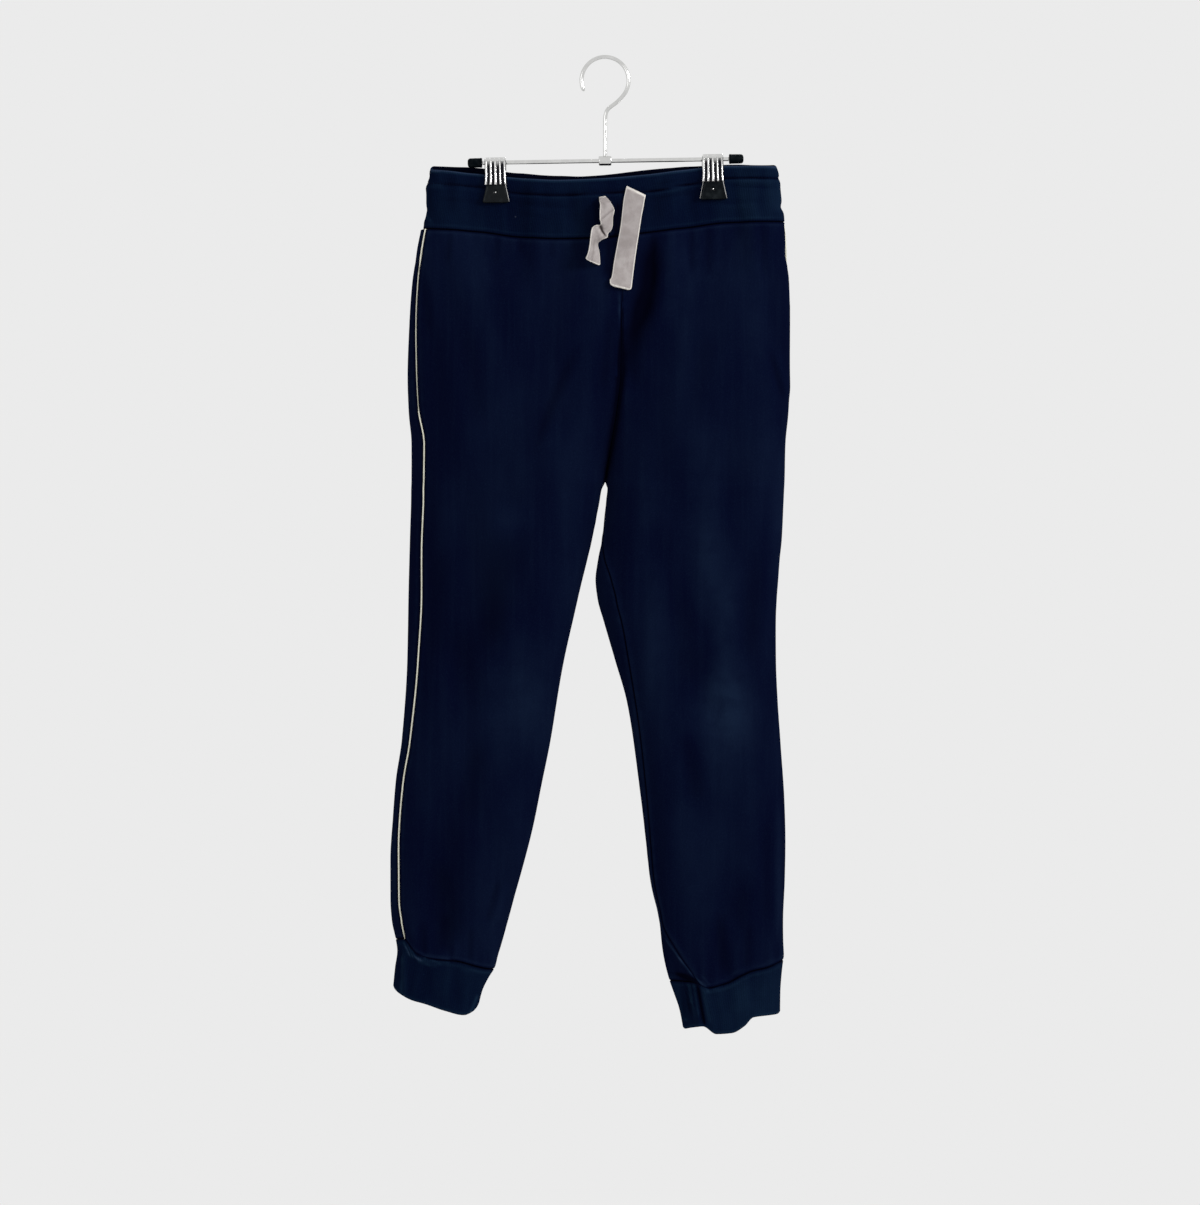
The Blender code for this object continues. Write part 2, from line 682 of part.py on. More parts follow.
def make_cuff(name, ring, look):
    """One cuff, a closed ring with its columns below those of the leg."""
    clear_out = PIPING_HALF + SEAM_GAP
    front = column_turns(ring, ring.low, "front", 0.5 * SEAM_GAP, clear_out)
    back = column_turns(ring, ring.low, "back", 0.5 * SEAM_GAP, clear_out)
    turns = np.concatenate([front, back[::-1]])
    outer_rows, inner_rows = [], []
    for row in range(CUFF_ROWS + 1):
        down = row / CUFF_ROWS
        edges = [float(ring.edge[name](down)) for name in ("outer", "inner")]
        level = ring.low + CUFF_HEIGHT * down
        outer, inner, across = wall_points(ring, turns, level, edges, CUFF_WALL)
        share = 0.5 + 0.5 * across
        seam = ring.line["seam"](share) + 0.5 * SEAM_GAP
        drops = seam + (ring.line["hem"](share) - seam) * down
        outer_rows.append([(*point, -drop) for point, drop in zip(outer, drops)])
        inner_rows.append([(*point, -drop) for point, drop in zip(inner, drops)])
    return grid_solid(name, outer_rows, inner_rows, look, closed=True)


def front_y(x, drop):
    """Y of the cloth's front face at one spot of the waistband or the hips."""
    if drop < waist_at["seam"](x):
        return -float(half_depth("front", -abs(x) / 0.165, 0.165, min(drop, 0.052), np.array(x)))
    inner = float(centre_at(drop))
    outer = float(table(HIPS, "drop", "right_edge" if x < inner else "left_edge")(drop))
    across = (x - 0.5 * (outer + inner)) / (0.5 * (inner - outer))
    return -float(half_depth("front", np.array(across), 0.5 * abs(inner - outer), drop,
                             np.array(x)))


def make_tape(name, stations, look):
    """A flat drawcord end that hangs before the waistband and the fronts."""
    rows = []
    for station in stations:
        turn = math.radians(station.turn)
        side = Vector((math.cos(turn), math.sin(turn)))
        thick = Vector((-side.y, side.x))
        half = 0.5 * TAPE_WIDTH
        near = min(
            front_y(station.x + share * half * side.x, station.drop)
            for share in (-1.0, -0.5, 0.0, 0.5, 1.0)
        )
        stand = half * abs(side.y) + 0.5 * TAPE_THICKNESS * side.x + 2.0 * SEAM_GAP
        middle = Vector((station.x, near - stand))
        corners = []
        for a, b in ((-1, -1), (1, -1), (1, 1), (-1, 1)):
            spot = middle + a * half * side + b * 0.5 * TAPE_THICKNESS * thick
            corners.append((spot.x, spot.y, -station.drop))
        rows.append(corners)
    return tube_solid(name, rows, look, flat=True)


def wire_mesh(points, radius, sides):
    """A round wire through the points."""
    rings = []
    points = [Vector(point) for point in points]
    for i, point in enumerate(points):
        ahead = points[min(i + 1, len(points) - 1)]
        behind = points[max(i - 1, 0)]
        along = (ahead - behind).normalized()
        across = Vector((0.0, 1.0, 0.0))
        up = along.cross(across).normalized()
        turns = (2.0 * math.pi * k / sides for k in range(sides))
        rings.append([
            point + radius * (math.cos(t) * across + math.sin(t) * up) for t in turns
        ])
    return rings


def hook_path():
    """The wire's middle line: up the neck, over to the right and round the hook."""
    radius = HOOK_INSIDE + WIRE_RADIUS
    centre = Vector((0.0, 0.0, -HOOK_INSIDE))
    start_angle, end_angle = math.radians(-38.0), math.radians(207.0)
    foot, neck = Vector((0.0, 0.0, BAR_CENTRE_Z)), Vector((0.0, 0.0, -0.060))
    join = centre + radius * Vector((math.cos(start_angle), 0.0, math.sin(start_angle)))
    into = Vector((-math.sin(start_angle), 0.0, math.cos(start_angle)))
    points = [foot, 0.5 * (foot + neck)]
    pull = 0.6 * (join - neck).length
    for i in range(8):
        t = i / 8.0
        a, b = neck, neck + pull * Vector((0.0, 0.0, 1.0))
        c, d = join - pull * into, join
        points.append(
            a * (1 - t) ** 3 + 3 * b * t * (1 - t) ** 2 + 3 * c * t * t * (1 - t) + d * t ** 3
        )
    for i in range(21):
        angle = start_angle + (end_angle - start_angle) * i / 20.0
        points.append(centre + radius * Vector((math.cos(angle), 0.0, math.sin(angle))))
    return points


def cylinder(name, radius, length, sides, look, guide=False):
    """A cylinder along X about its own origin."""
    mesh = bmesh.new()
    turn = Matrix.Rotation(math.radians(90.0), 4, "Y")
    bmesh.ops.create_cone(mesh, cap_ends=True, segments=sides, radius1=radius,
                          radius2=radius, depth=length, matrix=turn)
    thing = finish_mesh(name, mesh, look)
    thing.hide_render = guide
    thing.display_type = "WIRE" if guide else "TEXTURED"
    return thing


def make_frame(tilted, look):
    """Bar and hook, welded in one piece."""
    frame = tube_solid("hanger_frame", wire_mesh(hook_path(), WIRE_RADIUS, 12), look)
    bar = cylinder("bar_guide", BAR_RADIUS, BAR_RIGHT_END - BAR_LEFT_END, 14, look, guide=True)
    bar.parent = tilted
    bar.location.x = 0.5 * (BAR_RIGHT_END + BAR_LEFT_END)
    collar = cylinder("collar_guide", 0.0046, 0.012, 16, look, guide=True)
    collar.parent = tilted
    for guide in (collar, bar):
        weld = frame.modifiers.new("Weld " + guide.name, "BOOLEAN")
        weld.operation = "UNION"
        weld.object = guide
    return frame


def make_cap(name, tilted, place, look):
    cap = cylinder(name, CAP_RADIUS, CAP_LENGTH, 16, look)
    rounding = cap.modifiers.new("Rounding", "BEVEL")
    rounding.width = 0.0010
    rounding.segments = 2
    rounding.limit_method = "ANGLE"
    cap.parent = tilted
    cap.location.x = place
    return cap


def jaw_outline(width):
    """Half-channel section of a jaw: a plate with five raised ribs, two of them its edges."""
    rib, crest = 0.065 * width, 0.0009
    face = [(-0.50 * width, 0.0022), (-0.50 * width, -crest)]
    face += [(-0.40 * width, -crest), (-0.35 * width, 0.0)]
    for middle in (-0.215 * width, 0.0, 0.215 * width):
        face += [(middle - rib, 0.0), (middle - 0.5 * rib, -crest)]
        face += [(middle + 0.5 * rib, -crest), (middle + rib, 0.0)]
    face += [(0.35 * width, 0.0), (0.40 * width, -crest)]
    face += [(0.50 * width, -crest), (0.50 * width, 0.0022)]
    back = [(0.50 * width - JAW_PLATE, 0.0022), (0.50 * width - JAW_PLATE, JAW_PLATE)]
    back += [(-0.50 * width + JAW_PLATE, JAW_PLATE), (-0.50 * width + JAW_PLATE, 0.0022)]
    return face + back


def make_jaw(name, clip, side, look):
    """One chrome jaw. side is -1 at the front and 1 at the back."""
    plate_y = SPRING_OUTER + SEAM_GAP + JAW_PLATE
    stations = (
        (JAW_TOP, plate_y + 0.0022, JAW_WIDTH * 0.94),
        (JAW_TOP - 0.0030, plate_y + 0.0010, JAW_WIDTH * 0.96),
        (0.0000, plate_y, JAW_WIDTH * 0.97),
        (-0.0130, plate_y, JAW_WIDTH * 0.97),
        (-0.0180, plate_y + 0.0003, JAW_WIDTH),
        (BOOT_TOP + SEAM_GAP, plate_y + 0.0006, JAW_WIDTH * 1.05),
    )
    rings = []
    for height, stand, width in stations:
        ring = [(x, side * (stand - y), height) for x, y in jaw_outline(width)]
        rings.append(ring if side < 0 else ring[::-1])
    jaw = tube_solid(name, rings, look, flat=True)
    jaw.parent = clip
    return jaw


def make_boot(name, clip, side, look):
    """The rubber boot on a jaw's end, which presses on the cloth."""
    near = GRIPPED_HALF + SEAM_GAP
    far = near + BOOT_THICKNESS
    low = BOOT_TOP - BOOT_HEIGHT
    mesh = bmesh.new()
    verts = []
    for height, width in ((BOOT_TOP, BOOT_TOP_WIDTH), (low, BOOT_LOW_WIDTH)):
        for x, y in ((-0.5, near), (0.5, near), (0.5, far), (-0.5, far)):
            verts.append(mesh.verts.new((x * width, side * y, height)))
    bmesh.ops.convex_hull(mesh, input=verts)
    bmesh.ops.dissolve_limit(mesh, angle_limit=0.01, verts=mesh.verts, edges=mesh.edges)
    boot = finish_mesh(name, mesh, look, flat=True)
    rounding = boot.modifiers.new("Rounding", "BEVEL")
    rounding.width = 0.0009
    rounding.segments = 2
    boot.parent = clip
    return boot


def make_spring(name, clip, look):
    """The coil spring round the bar that closes a clip's jaws."""
    rings = []
    bore = BAR_RADIUS + SEAM_GAP
    sides = 16
    mesh = bmesh.new()
    for x, radius in ((-0.5, bore), (-0.5, SPRING_OUTER), (0.5, SPRING_OUTER), (0.5, bore)):
        ring = []
        for k in range(sides):
            turn = 2.0 * math.pi * k / sides
            spot = (x * SPRING_LENGTH, radius * math.cos(turn), radius * math.sin(turn))
            ring.append(mesh.verts.new(spot))
        rings.append(ring)
    for a in range(4):
        for i in range(sides):
            j = (i + 1) % sides
            b = (a + 1) % 4
            mesh.faces.new((rings[a][i], rings[a][j], rings[b][j], rings[b][i]))
    spring = finish_mesh(name, mesh, look)
    spring.parent = clip
    return spring


def make_hanger(root, chrome, rubber):
    tilted = bpy.data.objects.new("bar_line", None)
    bpy.context.scene.collection.objects.link(tilted)
    tilted.parent = root
    tilted.location.z = BAR_CENTRE_Z
    tilted.rotation_euler.y = -BAR_TILT
    make_frame(tilted, chrome).parent = root
    reach = 0.5 * CAP_LENGTH + SEAM_GAP
    make_cap("hanger_cap_right", tilted, BAR_LEFT_END - reach, rubber)
    make_cap("hanger_cap_left", tilted, BAR_RIGHT_END + reach, rubber)
    for side_name, place in zip(("right", "left"), CLIP_X):
        clip = bpy.data.objects.new("clip_" + side_name, None)
        bpy.context.scene.collection.objects.link(clip)
        clip.parent = tilted
        clip.location.x = place
        make_spring("clip_spring_" + side_name, clip, chrome)
        for face, side in (("front", -1.0), ("back", 1.0)):
            make_jaw("clip_jaw_" + face + "_" + side_name, clip, side, chrome)
            make_boot("clip_boot_" + face + "_" + side_name, clip, side, rubber)


def make_trousers(root, cloth, rib, piping, tape):
    waist = bpy.data.objects.new("waist_line", None)
    bpy.context.scene.collection.objects.link(waist)
    waist.parent = root
    waist.location.z = WAIST_Z
    legs = {
        "right": Ring("right", RIGHT_LEG, RIGHT_CUFF_LINES, RIGHT_CUFF_EDGES),
        "left": Ring("left", LEFT_LEG, LEFT_CUFF_LINES, LEFT_CUFF_EDGES),
    }
    made = [make_band(rib)]
    for side_name, ring in legs.items():
        made.append(make_panel("front_" + side_name, ring, "front", cloth))
        made.append(make_panel("back_" + side_name, ring, "back", cloth))
        made.append(make_piping("piping_" + side_name, ring, piping))
        made.append(make_cuff("cuff_" + side_name, ring, rib))
    made.append(make_tape("drawcord_end_left", FLAT_END, tape))
    made.append(make_tape("drawcord_end_right", TWISTED_END, tape))
    for piece in made:
        piece.parent = waist


def main():
    clear_scene()
    root = bpy.data.objects.new("hook_rest", None)
    bpy.context.scene.collection.objects.link(root)
    cloth = material("navy_french_terry", (0.0030, 0.0052, 0.0180), 0.95)
    rib = material("navy_rib", (0.0036, 0.0066, 0.0200), 0.95)
    piping = material("cream_piping", (0.73, 0.72, 0.60), 0.80)
    tape = material("grey_drawcord", (0.44, 0.39, 0.38), 0.85)
    chrome = material("chrome", (0.72, 0.72, 0.72), 0.12, 1.0)
    rubber = material("black_rubber", (0.012, 0.014, 0.017), 0.45)
    make_hanger(root, chrome, rubber)
    make_trousers(root, cloth, rib, piping, tape)


main()
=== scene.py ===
"""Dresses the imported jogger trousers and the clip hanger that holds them.

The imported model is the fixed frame. Each piece of cloth is remade as a thin shell on the form
of its solid, at a finer step and with its creases, gathers and rolled edges. Each piece of
metal and rubber is remade on the sizes of its solid. Metres, +Z up, front towards -Y, the
origin under the top of the hook. Heights on the garment are drops below the waist line.
"""

import math
from collections import namedtuple

import bmesh
import bpy
import numpy as np
from mathutils import Matrix, Vector


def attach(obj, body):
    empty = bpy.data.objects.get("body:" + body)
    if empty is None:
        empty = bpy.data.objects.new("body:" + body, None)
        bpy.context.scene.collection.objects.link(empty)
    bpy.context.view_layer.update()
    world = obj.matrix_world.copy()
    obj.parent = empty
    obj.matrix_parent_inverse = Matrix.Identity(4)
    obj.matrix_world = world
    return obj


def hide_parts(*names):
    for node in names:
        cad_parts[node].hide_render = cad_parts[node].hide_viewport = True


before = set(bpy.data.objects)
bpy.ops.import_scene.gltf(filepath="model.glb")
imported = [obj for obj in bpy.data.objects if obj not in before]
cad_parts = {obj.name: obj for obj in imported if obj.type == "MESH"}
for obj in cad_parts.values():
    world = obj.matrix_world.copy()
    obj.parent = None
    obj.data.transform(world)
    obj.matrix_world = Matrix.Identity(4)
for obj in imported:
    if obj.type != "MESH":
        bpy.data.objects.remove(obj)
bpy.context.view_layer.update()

X_AXIS, Y_AXIS, Z_AXIS = np.eye(3)
FULL_TURN = 2.0 * math.pi

# Cloth
CLOTH_WALL = 0.0020
BAND_WALL = 0.0030
CUFF_WALL = 0.0026
SEAM_GAP = 0.0003
FOLD_RADIUS = 0.0060
ROUNDEST_EDGE = 2.3

# Garment heights
WAIST_Z = -0.0995
CROTCH_DROP = 0.294
TOP_FADE = 0.090
CUFF_FADE = 0.060
CUFF_HEIGHT = 0.045
BAND_HEIGHT = 0.055
BAND_LEVELS = 0.052
BAND_HALF_WIDTH = 0.165
MOUTH_TOP = 0.092
MOUTH_END = 0.227
MOUTH_BLEND = 0.008
MOUTH_CLOSING = (0.224, 0.231)
BAR_TACKS = (0.0937, 0.2246)

# Clips' grip on the waistband
CLIP_X = (-0.102, 0.100)
GRIPPED_HALF = 0.0037
GRIP_REACH = 0.032
GRIP_END = 0.130
GRIP_START = 0.040

# Folds, creases and the step of the left leg's front above its cuff
FOLD_ENDS = 0.30
FOLD_LIMIT = 0.55
FOLD_ONSET = 1.4
CREASE_ENDS = 0.28
LEAN_REACH = 2.1
LEAN_WIDTH = 1.5
STEP_DEPTH = 0.0060
STEP_WIDTH = 0.0090
STEP_START = 0.705
STEP_FULL = 0.748
STEP_LIMIT = 0.8
STREAK_ENDS = 1.5

# Piping
PIPING_PROUD = 0.0010
MOUTH_PIPING_PROUD = 0.0004
BEAD_HALF = 0.00054
MOUTH_BEAD_HALF = 0.00042
BEAD_TUCK = 0.0050
TUCK_END = 0.0005
TUCK_SQUEEZE = 0.65
TACK_HALF = 0.0016
TACK_SQUEEZE = 0.45
MOUTH_THINNING = 0.40
MOUTH_BEAD_FADE = 0.060
BEAD_POINTS = 9
BEAD_ROOT = 0.8 * CLOTH_WALL
BEAD_SINK = 0.12 * CLOTH_WALL
BEAD_ROUNDNESS = 0.8
BEAD_GIRTH = 0.008
SEARCH_TURN = 0.4

# Hanger
HOOK_INSIDE = 0.0200
WIRE_RADIUS = 0.0019
NECK_Z = -0.060
HOOK_START = math.radians(-38.0)
HOOK_END = math.radians(207.0)
BAR_RADIUS = 0.0020
BAR_ROUNDING = 0.0004
BAR_CENTRE_Z = -0.09485
BAR_TILT = math.radians(0.88)
BAR_RIGHT_END = -0.1140
BAR_LEFT_END = 0.1150
COLLAR_HALF = 0.0060
COLLAR_RADIUS = 0.0046
COLLAR_ROUNDING = 0.0012
CAP_LENGTH = 0.0135
SPRING_OUTER = 0.0050
SPRING_LENGTH = 0.0150
COIL_WIRE = 0.00062
COIL_TURNS = 7.5
COIL_STEPS = 20

# Clips
JAW_WIDTH = 0.0205
JAW_PLATE = 0.0012
JAW_RIM = 0.0022
JAW_RIB_HEIGHT = 0.0011
# Middle and half-width of each pressed rib, as shares of the jaw's width.
JAW_RIBS = ((-0.43, 0.058), (-0.215, 0.056), (0.0, 0.060), (0.215, 0.046), (0.43, 0.044))
# Where the grooves between the jaw's ribs lie, and how dark the painted shade in each is.
GROOVE_PLACES = (-0.322, -0.107, 0.107, 0.322)
GROOVE_TONES = (0.80, 1.0, 0.72, 0.95)
BOOT_TOP = -0.0218
BOOT_HEIGHT = 0.0162
BOOT_THICKNESS = 0.0040
BOOT_TOP_WIDTH = 0.0195
BOOT_LOW_WIDTH = 0.0260
BOOT_ROUNDING = 0.0016
BOOT_NEAR = GRIPPED_HALF + SEAM_GAP
BOOT_FAR = BOOT_NEAR + BOOT_THICKNESS
DIMPLE_Z = BOOT_TOP - 0.40 * BOOT_HEIGHT
DIMPLE_SIZE = 0.0068
LEFT_BOOT_SHADE = 0.6

# Fine mesh
DENSE = 420
PANEL_COLUMNS = 72
RISE_ROWS = 92
LEG_ROWS = 168
BAND_COLUMNS = 300
BAND_ROWS = 24
CUFF_COLUMNS = 176
CUFF_ROWS = 18
PIPING_ROWS = 190
TAPE_ROWS = 96
TAPE_COLUMNS = 24
TURN_STEP = 0.0005
BEND_WEIGHT = 0.010
EDGE_STEPS = (0.0, 0.00012, 0.00035, 0.00075, 0.0013)
EDGE_ROLL = 0.0012
BAND_ROLL = 0.0013
HEM_ROLL = 0.0011
HEM_ROUNDING = 0.0020
HEM_SQUARENESS = 40
HEM_FADE = 0.0030
SOFTEST = 0.9
SEAM_ALLOWANCE = 0.0018
ALLOWANCE_FADE = 0.0040
CREASE_FADE = 0.007
SEAM_FADE = 0.0040
BACK_BLEND = 0.0020
SIDE_BLEND = 0.0050
CENTRE_BLEND = (0.002, 0.008)
PULL_FADE = (0.002, 0.012)
TOP_SLACK_FADE = 0.03
LOW_SLACK_FADE = 0.02
PUCKER_FADE = (0.0004, 0.0022)
PUCKER_REACH = 0.006
GATHER_FADE = (0.0004, 0.0040)
TOP_GATHER_REACH = 0.016
LOW_GATHER_REACH = 0.020
GATHER_LEAN = 0.15
RIPPLE_FADE = 0.03
BAND_TOP_FADE = 0.006
BAND_LOW_FADE = 0.005

# Each kind of uneven waves: height, length across and length down the cloth. The seeds fix
# their form.
BROAD_SLACK = (0.00034, 0.070, 0.42)
FINE_SLACK = (0.00016, 0.030, 0.20)
SEAM_PUCKER = (0.00022, 1.0, 0.013)
TOP_GATHERS = (0.00028, 0.017, 1.0)
LOW_GATHERS = (0.00040, 0.011, 1.0)
BAND_RIPPLES = (0.00022, 0.024, 0.30)
FINE_RIPPLES = (0.00012, 0.009, 0.20)
CUFF_RIPPLES = (0.00016, 0.012, 0.20)
PANEL_SEEDS = {"front_right": 11, "front_left": 12, "back_right": 13, "back_left": 14}
BAND_SEEDS = (205, 206)
CUFF_SEEDS = {"cuff_right": 302, "cuff_left": 301}
FINE_SEED, PUCKER_SEED, TOP_SEED, LOW_SEED = 40, 80, 120, 160
WAVE_COUNT = 7
WAVE_RANGE = (0.7, 1.5)
RUN_RANGE = (0.7, 1.6)

# The centre seam above the crotch, where the panels sink towards it
RISE_DEEP_START = 0.120
RISE_DEEP_END = 0.200
RISE_SINK = 0.0022
RISE_SINK_WIDTH = 0.0045
RISE_SHADE = 1.3
RISE_SHADE_WIDTH = 0.0032

# The tunnel's stitch line and the cloth beside it
STITCH_PITCH = 0.0032
STITCH_LENGTH = 0.0024
STITCH_SIDES = 6
STITCH_HEIGHT = 0.35
# Share along a stitch, its thickness there and how deep it lies.
STITCH_FORM = ((0.0, 0.4, 0.00070), (0.18, 1.0, 0.00030), (0.5, 1.0, 0.00016),
               (0.82, 1.0, 0.00030), (1.0, 0.4, 0.00070))
THREAD_RADIUS = 0.00030
STITCH_GROOVE = 0.00095
GROOVE_HALF = 0.0011
TUNNEL_SWELL = 0.0007
TUNNEL_FADE = 0.0045
TUNNEL_CLEAN = 0.7
# Height, distance below the stitches and half-width of the swell beside them.
LOWER_SWELL = (0.0005, 0.0045, 0.0026)

# Drawcord
TAPE_SHELL = 0.0012
TAPE_ROLL = 0.48 * TAPE_SHELL
TAPE_LEFT_STEPS = (0.0, 0.008, 0.02, 0.035)
TAPE_RIGHT_STEPS = (0.965, 0.98, 0.992, 1.0)
TAPE_CORNER = 0.0026
TAPE_WIDTH = 0.0207
TAPE_CROWN = 0.0005
# The tape's paler edges, partly painted highlight, with the right edge brighter than the left.
RIM_START = 0.0008
RIM_END = 0.0015
RIM_TONES = (1.25, 0.85)

# Wear and painted light: how much relief and folds change the colour, with ridges rubbed paler and
# partly painted as highlight, troughs and folds painted as shade, and the painted shade of inner
# faces. Each line is its amount, negative where it paints shade and positive for a pale line that is
# partly rubbed and partly painted highlight, its distance from the edge and its half-width.
RELIEF_WEAR_AND_SHADE = 260.0
WEAR_AND_SHADE_LIMITS = (-0.75, 0.40)
FOLD_SHADE = 85.0
INSIDE_SHADE = -0.9
SHADE_BY_DENT = 450.0
# Painted shade right at each seam, with a pale line beside it, partly rubbed and partly painted highlight.
SEAM_SHADE_AND_HIGHLIGHT = ((-0.9, 0.0, 0.0007), (0.32, 0.0022, 0.0013))
WIDE_SEAM_SHADE_AND_HIGHLIGHT = ((-1.1, 0.0, 0.0011), (0.30, 0.0030, 0.0015))
OUTSEAM_SHADE_AND_HIGHLIGHT = ((-0.9, 0.0, 0.0013), (0.16, 0.0030, 0.0014))
# A painted highlight along the waistband's top edge.
TOP_EDGE_HIGHLIGHT = ((2.2, 0.0007, 0.0008),)
# Painted shade in the stitch line's groove, with a painted highlight below it.
STITCH_SHADE_AND_HIGHLIGHT = ((-1.0, 0.0003, 0.0008), (0.35, 0.0028, 0.0011))
# A pale line above the hem's fold, partly rubbed and partly painted highlight.
HEM_WEAR_AND_HIGHLIGHT = ((0.45, 0.0015, 0.0012),)
BAND_TONE = -0.08
CUFF_TONE = 0.05

# Studio
CAMERA_DISTANCE = 3.4
CAMERA_WIDTH = 1.1207
CAMERA_X = -0.0047
CAMERA_Z = -0.5055
SENSOR = 36.0
STUDIO = (0.8308, 0.8308, 0.8308, 1.0)
LIGHT_AIM = (0.0, 0.0, -0.45)
# Name, place, size and power of each lamp.
LAMPS = (("key", (2.1, -1.3, 0.75), 0.8, 58.0), ("fill", (-1.6, -2.2, 0.1), 1.4, 9.0))
FLOOR_Z = -1.15
FLOOR_RADII = (0.6, 1.5, 4.0, 12.0, 38.0)
FLOOR_SIDES = 96
FLOOR_WHITE = (0.80, 0.80, 0.80, 1.0)
FLOOR_PLAIN = 0.05
FLOOR_FADED = 0.60

# Colours
# The first two colours are painted shade and painted highlight of the navy cloth; the worn colours also
# take painted highlight.
SHADED_NAVY = (0.0004, 0.0006, 0.0042, 1.0)
HIGHLIGHT_NAVY = (0.0150, 0.0250, 0.0520, 1.0)
THREAD_NAVY = (0.0016, 0.0032, 0.0130, 1.0)
DEEP_NAVY = (0.0009, 0.0019, 0.0112, 1.0)
WORN_AND_LIT_NAVY = (0.0050, 0.0110, 0.0285, 1.0)
DEEP_RIB = (0.0009, 0.0026, 0.0122, 1.0)
WORN_AND_LIT_RIB = (0.0042, 0.0120, 0.0280, 1.0)
LINT = (0.05, 0.06, 0.09, 1.0)
CREAM = (0.66, 0.65, 0.55, 1.0)
SOILED_CREAM = (0.46, 0.45, 0.36, 1.0)
TAPE_GREY = (0.345, 0.315, 0.31, 1.0)
TAPE_DARK = (0.275, 0.245, 0.24, 1.0)
TAPE_PALE = (0.46, 0.43, 0.42, 1.0)
TAPE_SHADE = (0.085, 0.070, 0.068, 1.0)
TAPE_RIM = (0.62, 0.59, 0.55, 1.0)
CHROME_BRIGHT = (0.78, 0.78, 0.77, 1.0)
CHROME_DULL = (0.60, 0.60, 0.59, 1.0)
# The last chrome colour is painted shade for the jaws' grooves.
CHROME_GROOVE_SHADE = (0.012, 0.012, 0.016, 1.0)
RUBBER = (0.0008, 0.0018, 0.0030, 1.0)
DUSTY_RUBBER = (0.0120, 0.0155, 0.0175, 1.0)

# Width and length of each piece's flat cut, taken along its cloth.
FLAT_SIZES = {
    "waistband": (0.68, 0.060),
    "front_right": (0.22, 0.72),
    "front_left": (0.22, 0.72),
    "back_right": (0.23, 0.72),
    "back_left": (0.23, 0.72),
    "cuff_right": (0.20, 0.048),
    "cuff_left": (0.21, 0.048),
    "drawcord_end_left": (0.0200, 0.0980),
    "drawcord_end_right": (0.0200, 0.0680),
}

# A level above the crotch: the X of both edges and of the centre seams, and how far in from
# its edge each outseam lies on the front, or behind the edge where negative.
HipRow = namedtuple("HipRow", "drop right_edge centre left_edge right_outseam left_outseam")

# A level of one leg below the crotch: the X of its edges, the places of its seams as in
# HipRow, and the Y of the leg's middle plane.
LegRow = namedtuple("LegRow", "drop outer inner outseam inseam plane")

# How far a level stands out to the front and back of its plane, and what share of that is
# left at the centre seam.
DepthRow = namedtuple("DepthRow", "drop front back front_rise back_rise")

# The waistband's lines at one X, as drops, and how much higher its back edge stands there.
WaistRow = namedtuple("WaistRow", "x front_top back_top seam")
RiseRow = namedtuple("RiseRow", "x rise")

# The cuff's seam and hem at one share of its width from the outer edge, as drops.
CuffLine = namedtuple("CuffLine", "across seam hem")

# The edges of a cuff or of the waistband at one share of its height.
CuffEdge = namedtuple("CuffEdge", "down outer inner")

# A point of a line across or down the cloth.
LinePoint = namedtuple("LinePoint", "x drop")

# A soft trough from its top to its low end.
Fold = namedtuple("Fold", "x drop end_x end_drop width depth")

# A crease from its top to its low end. A negative depth is a ridge. bow moves its middle to
# +X. lean adds a ridge beside it, to +X where positive.
Crease = namedtuple("Crease", "x drop end_x end_drop width depth bow lean")

# A narrow pale line of painted highlight on the cloth, or of painted shade if amount is below 0.
Streak = namedtuple("Streak", "x drop end_x end_drop half amount")

# A place where an end of the waistband is drawn in or let out.
BandPull = namedtuple("BandPull", "x drop pull half")

# A broad patch of cloth, paler where fade is above 0 and darker where it is below 0.
Patch = namedtuple("Patch", "x drop half_width half_height fade")

# A station along a drawcord end: X, drop and stand-off from the cloth of both its edges.
TapeRow = namedtuple("TapeRow", "along left_x left_drop left_out right_x right_drop right_out")

# A station down a jaw: its height on the bar, how far it stands out, its width, the ribs'
# height and how dark the painted shade in their grooves is.
JawRow = namedtuple("JawRow", "height stand size ribs shade")

# Columns of the tables that hold plain shares. All others are lengths in millimetres.
SHARES = {"front_rise", "back_rise", "across", "down", "along", "lean", "amount", "fade",
          "size", "ribs", "shade"}


def metres(kind, *rows):
    """The rows of one table, with their lengths turned from millimetres into metres."""
    return [kind(*(number if name in SHARES else round(0.001 * number, 7)
                   for name, number in zip(kind._fields, row))) for row in rows]


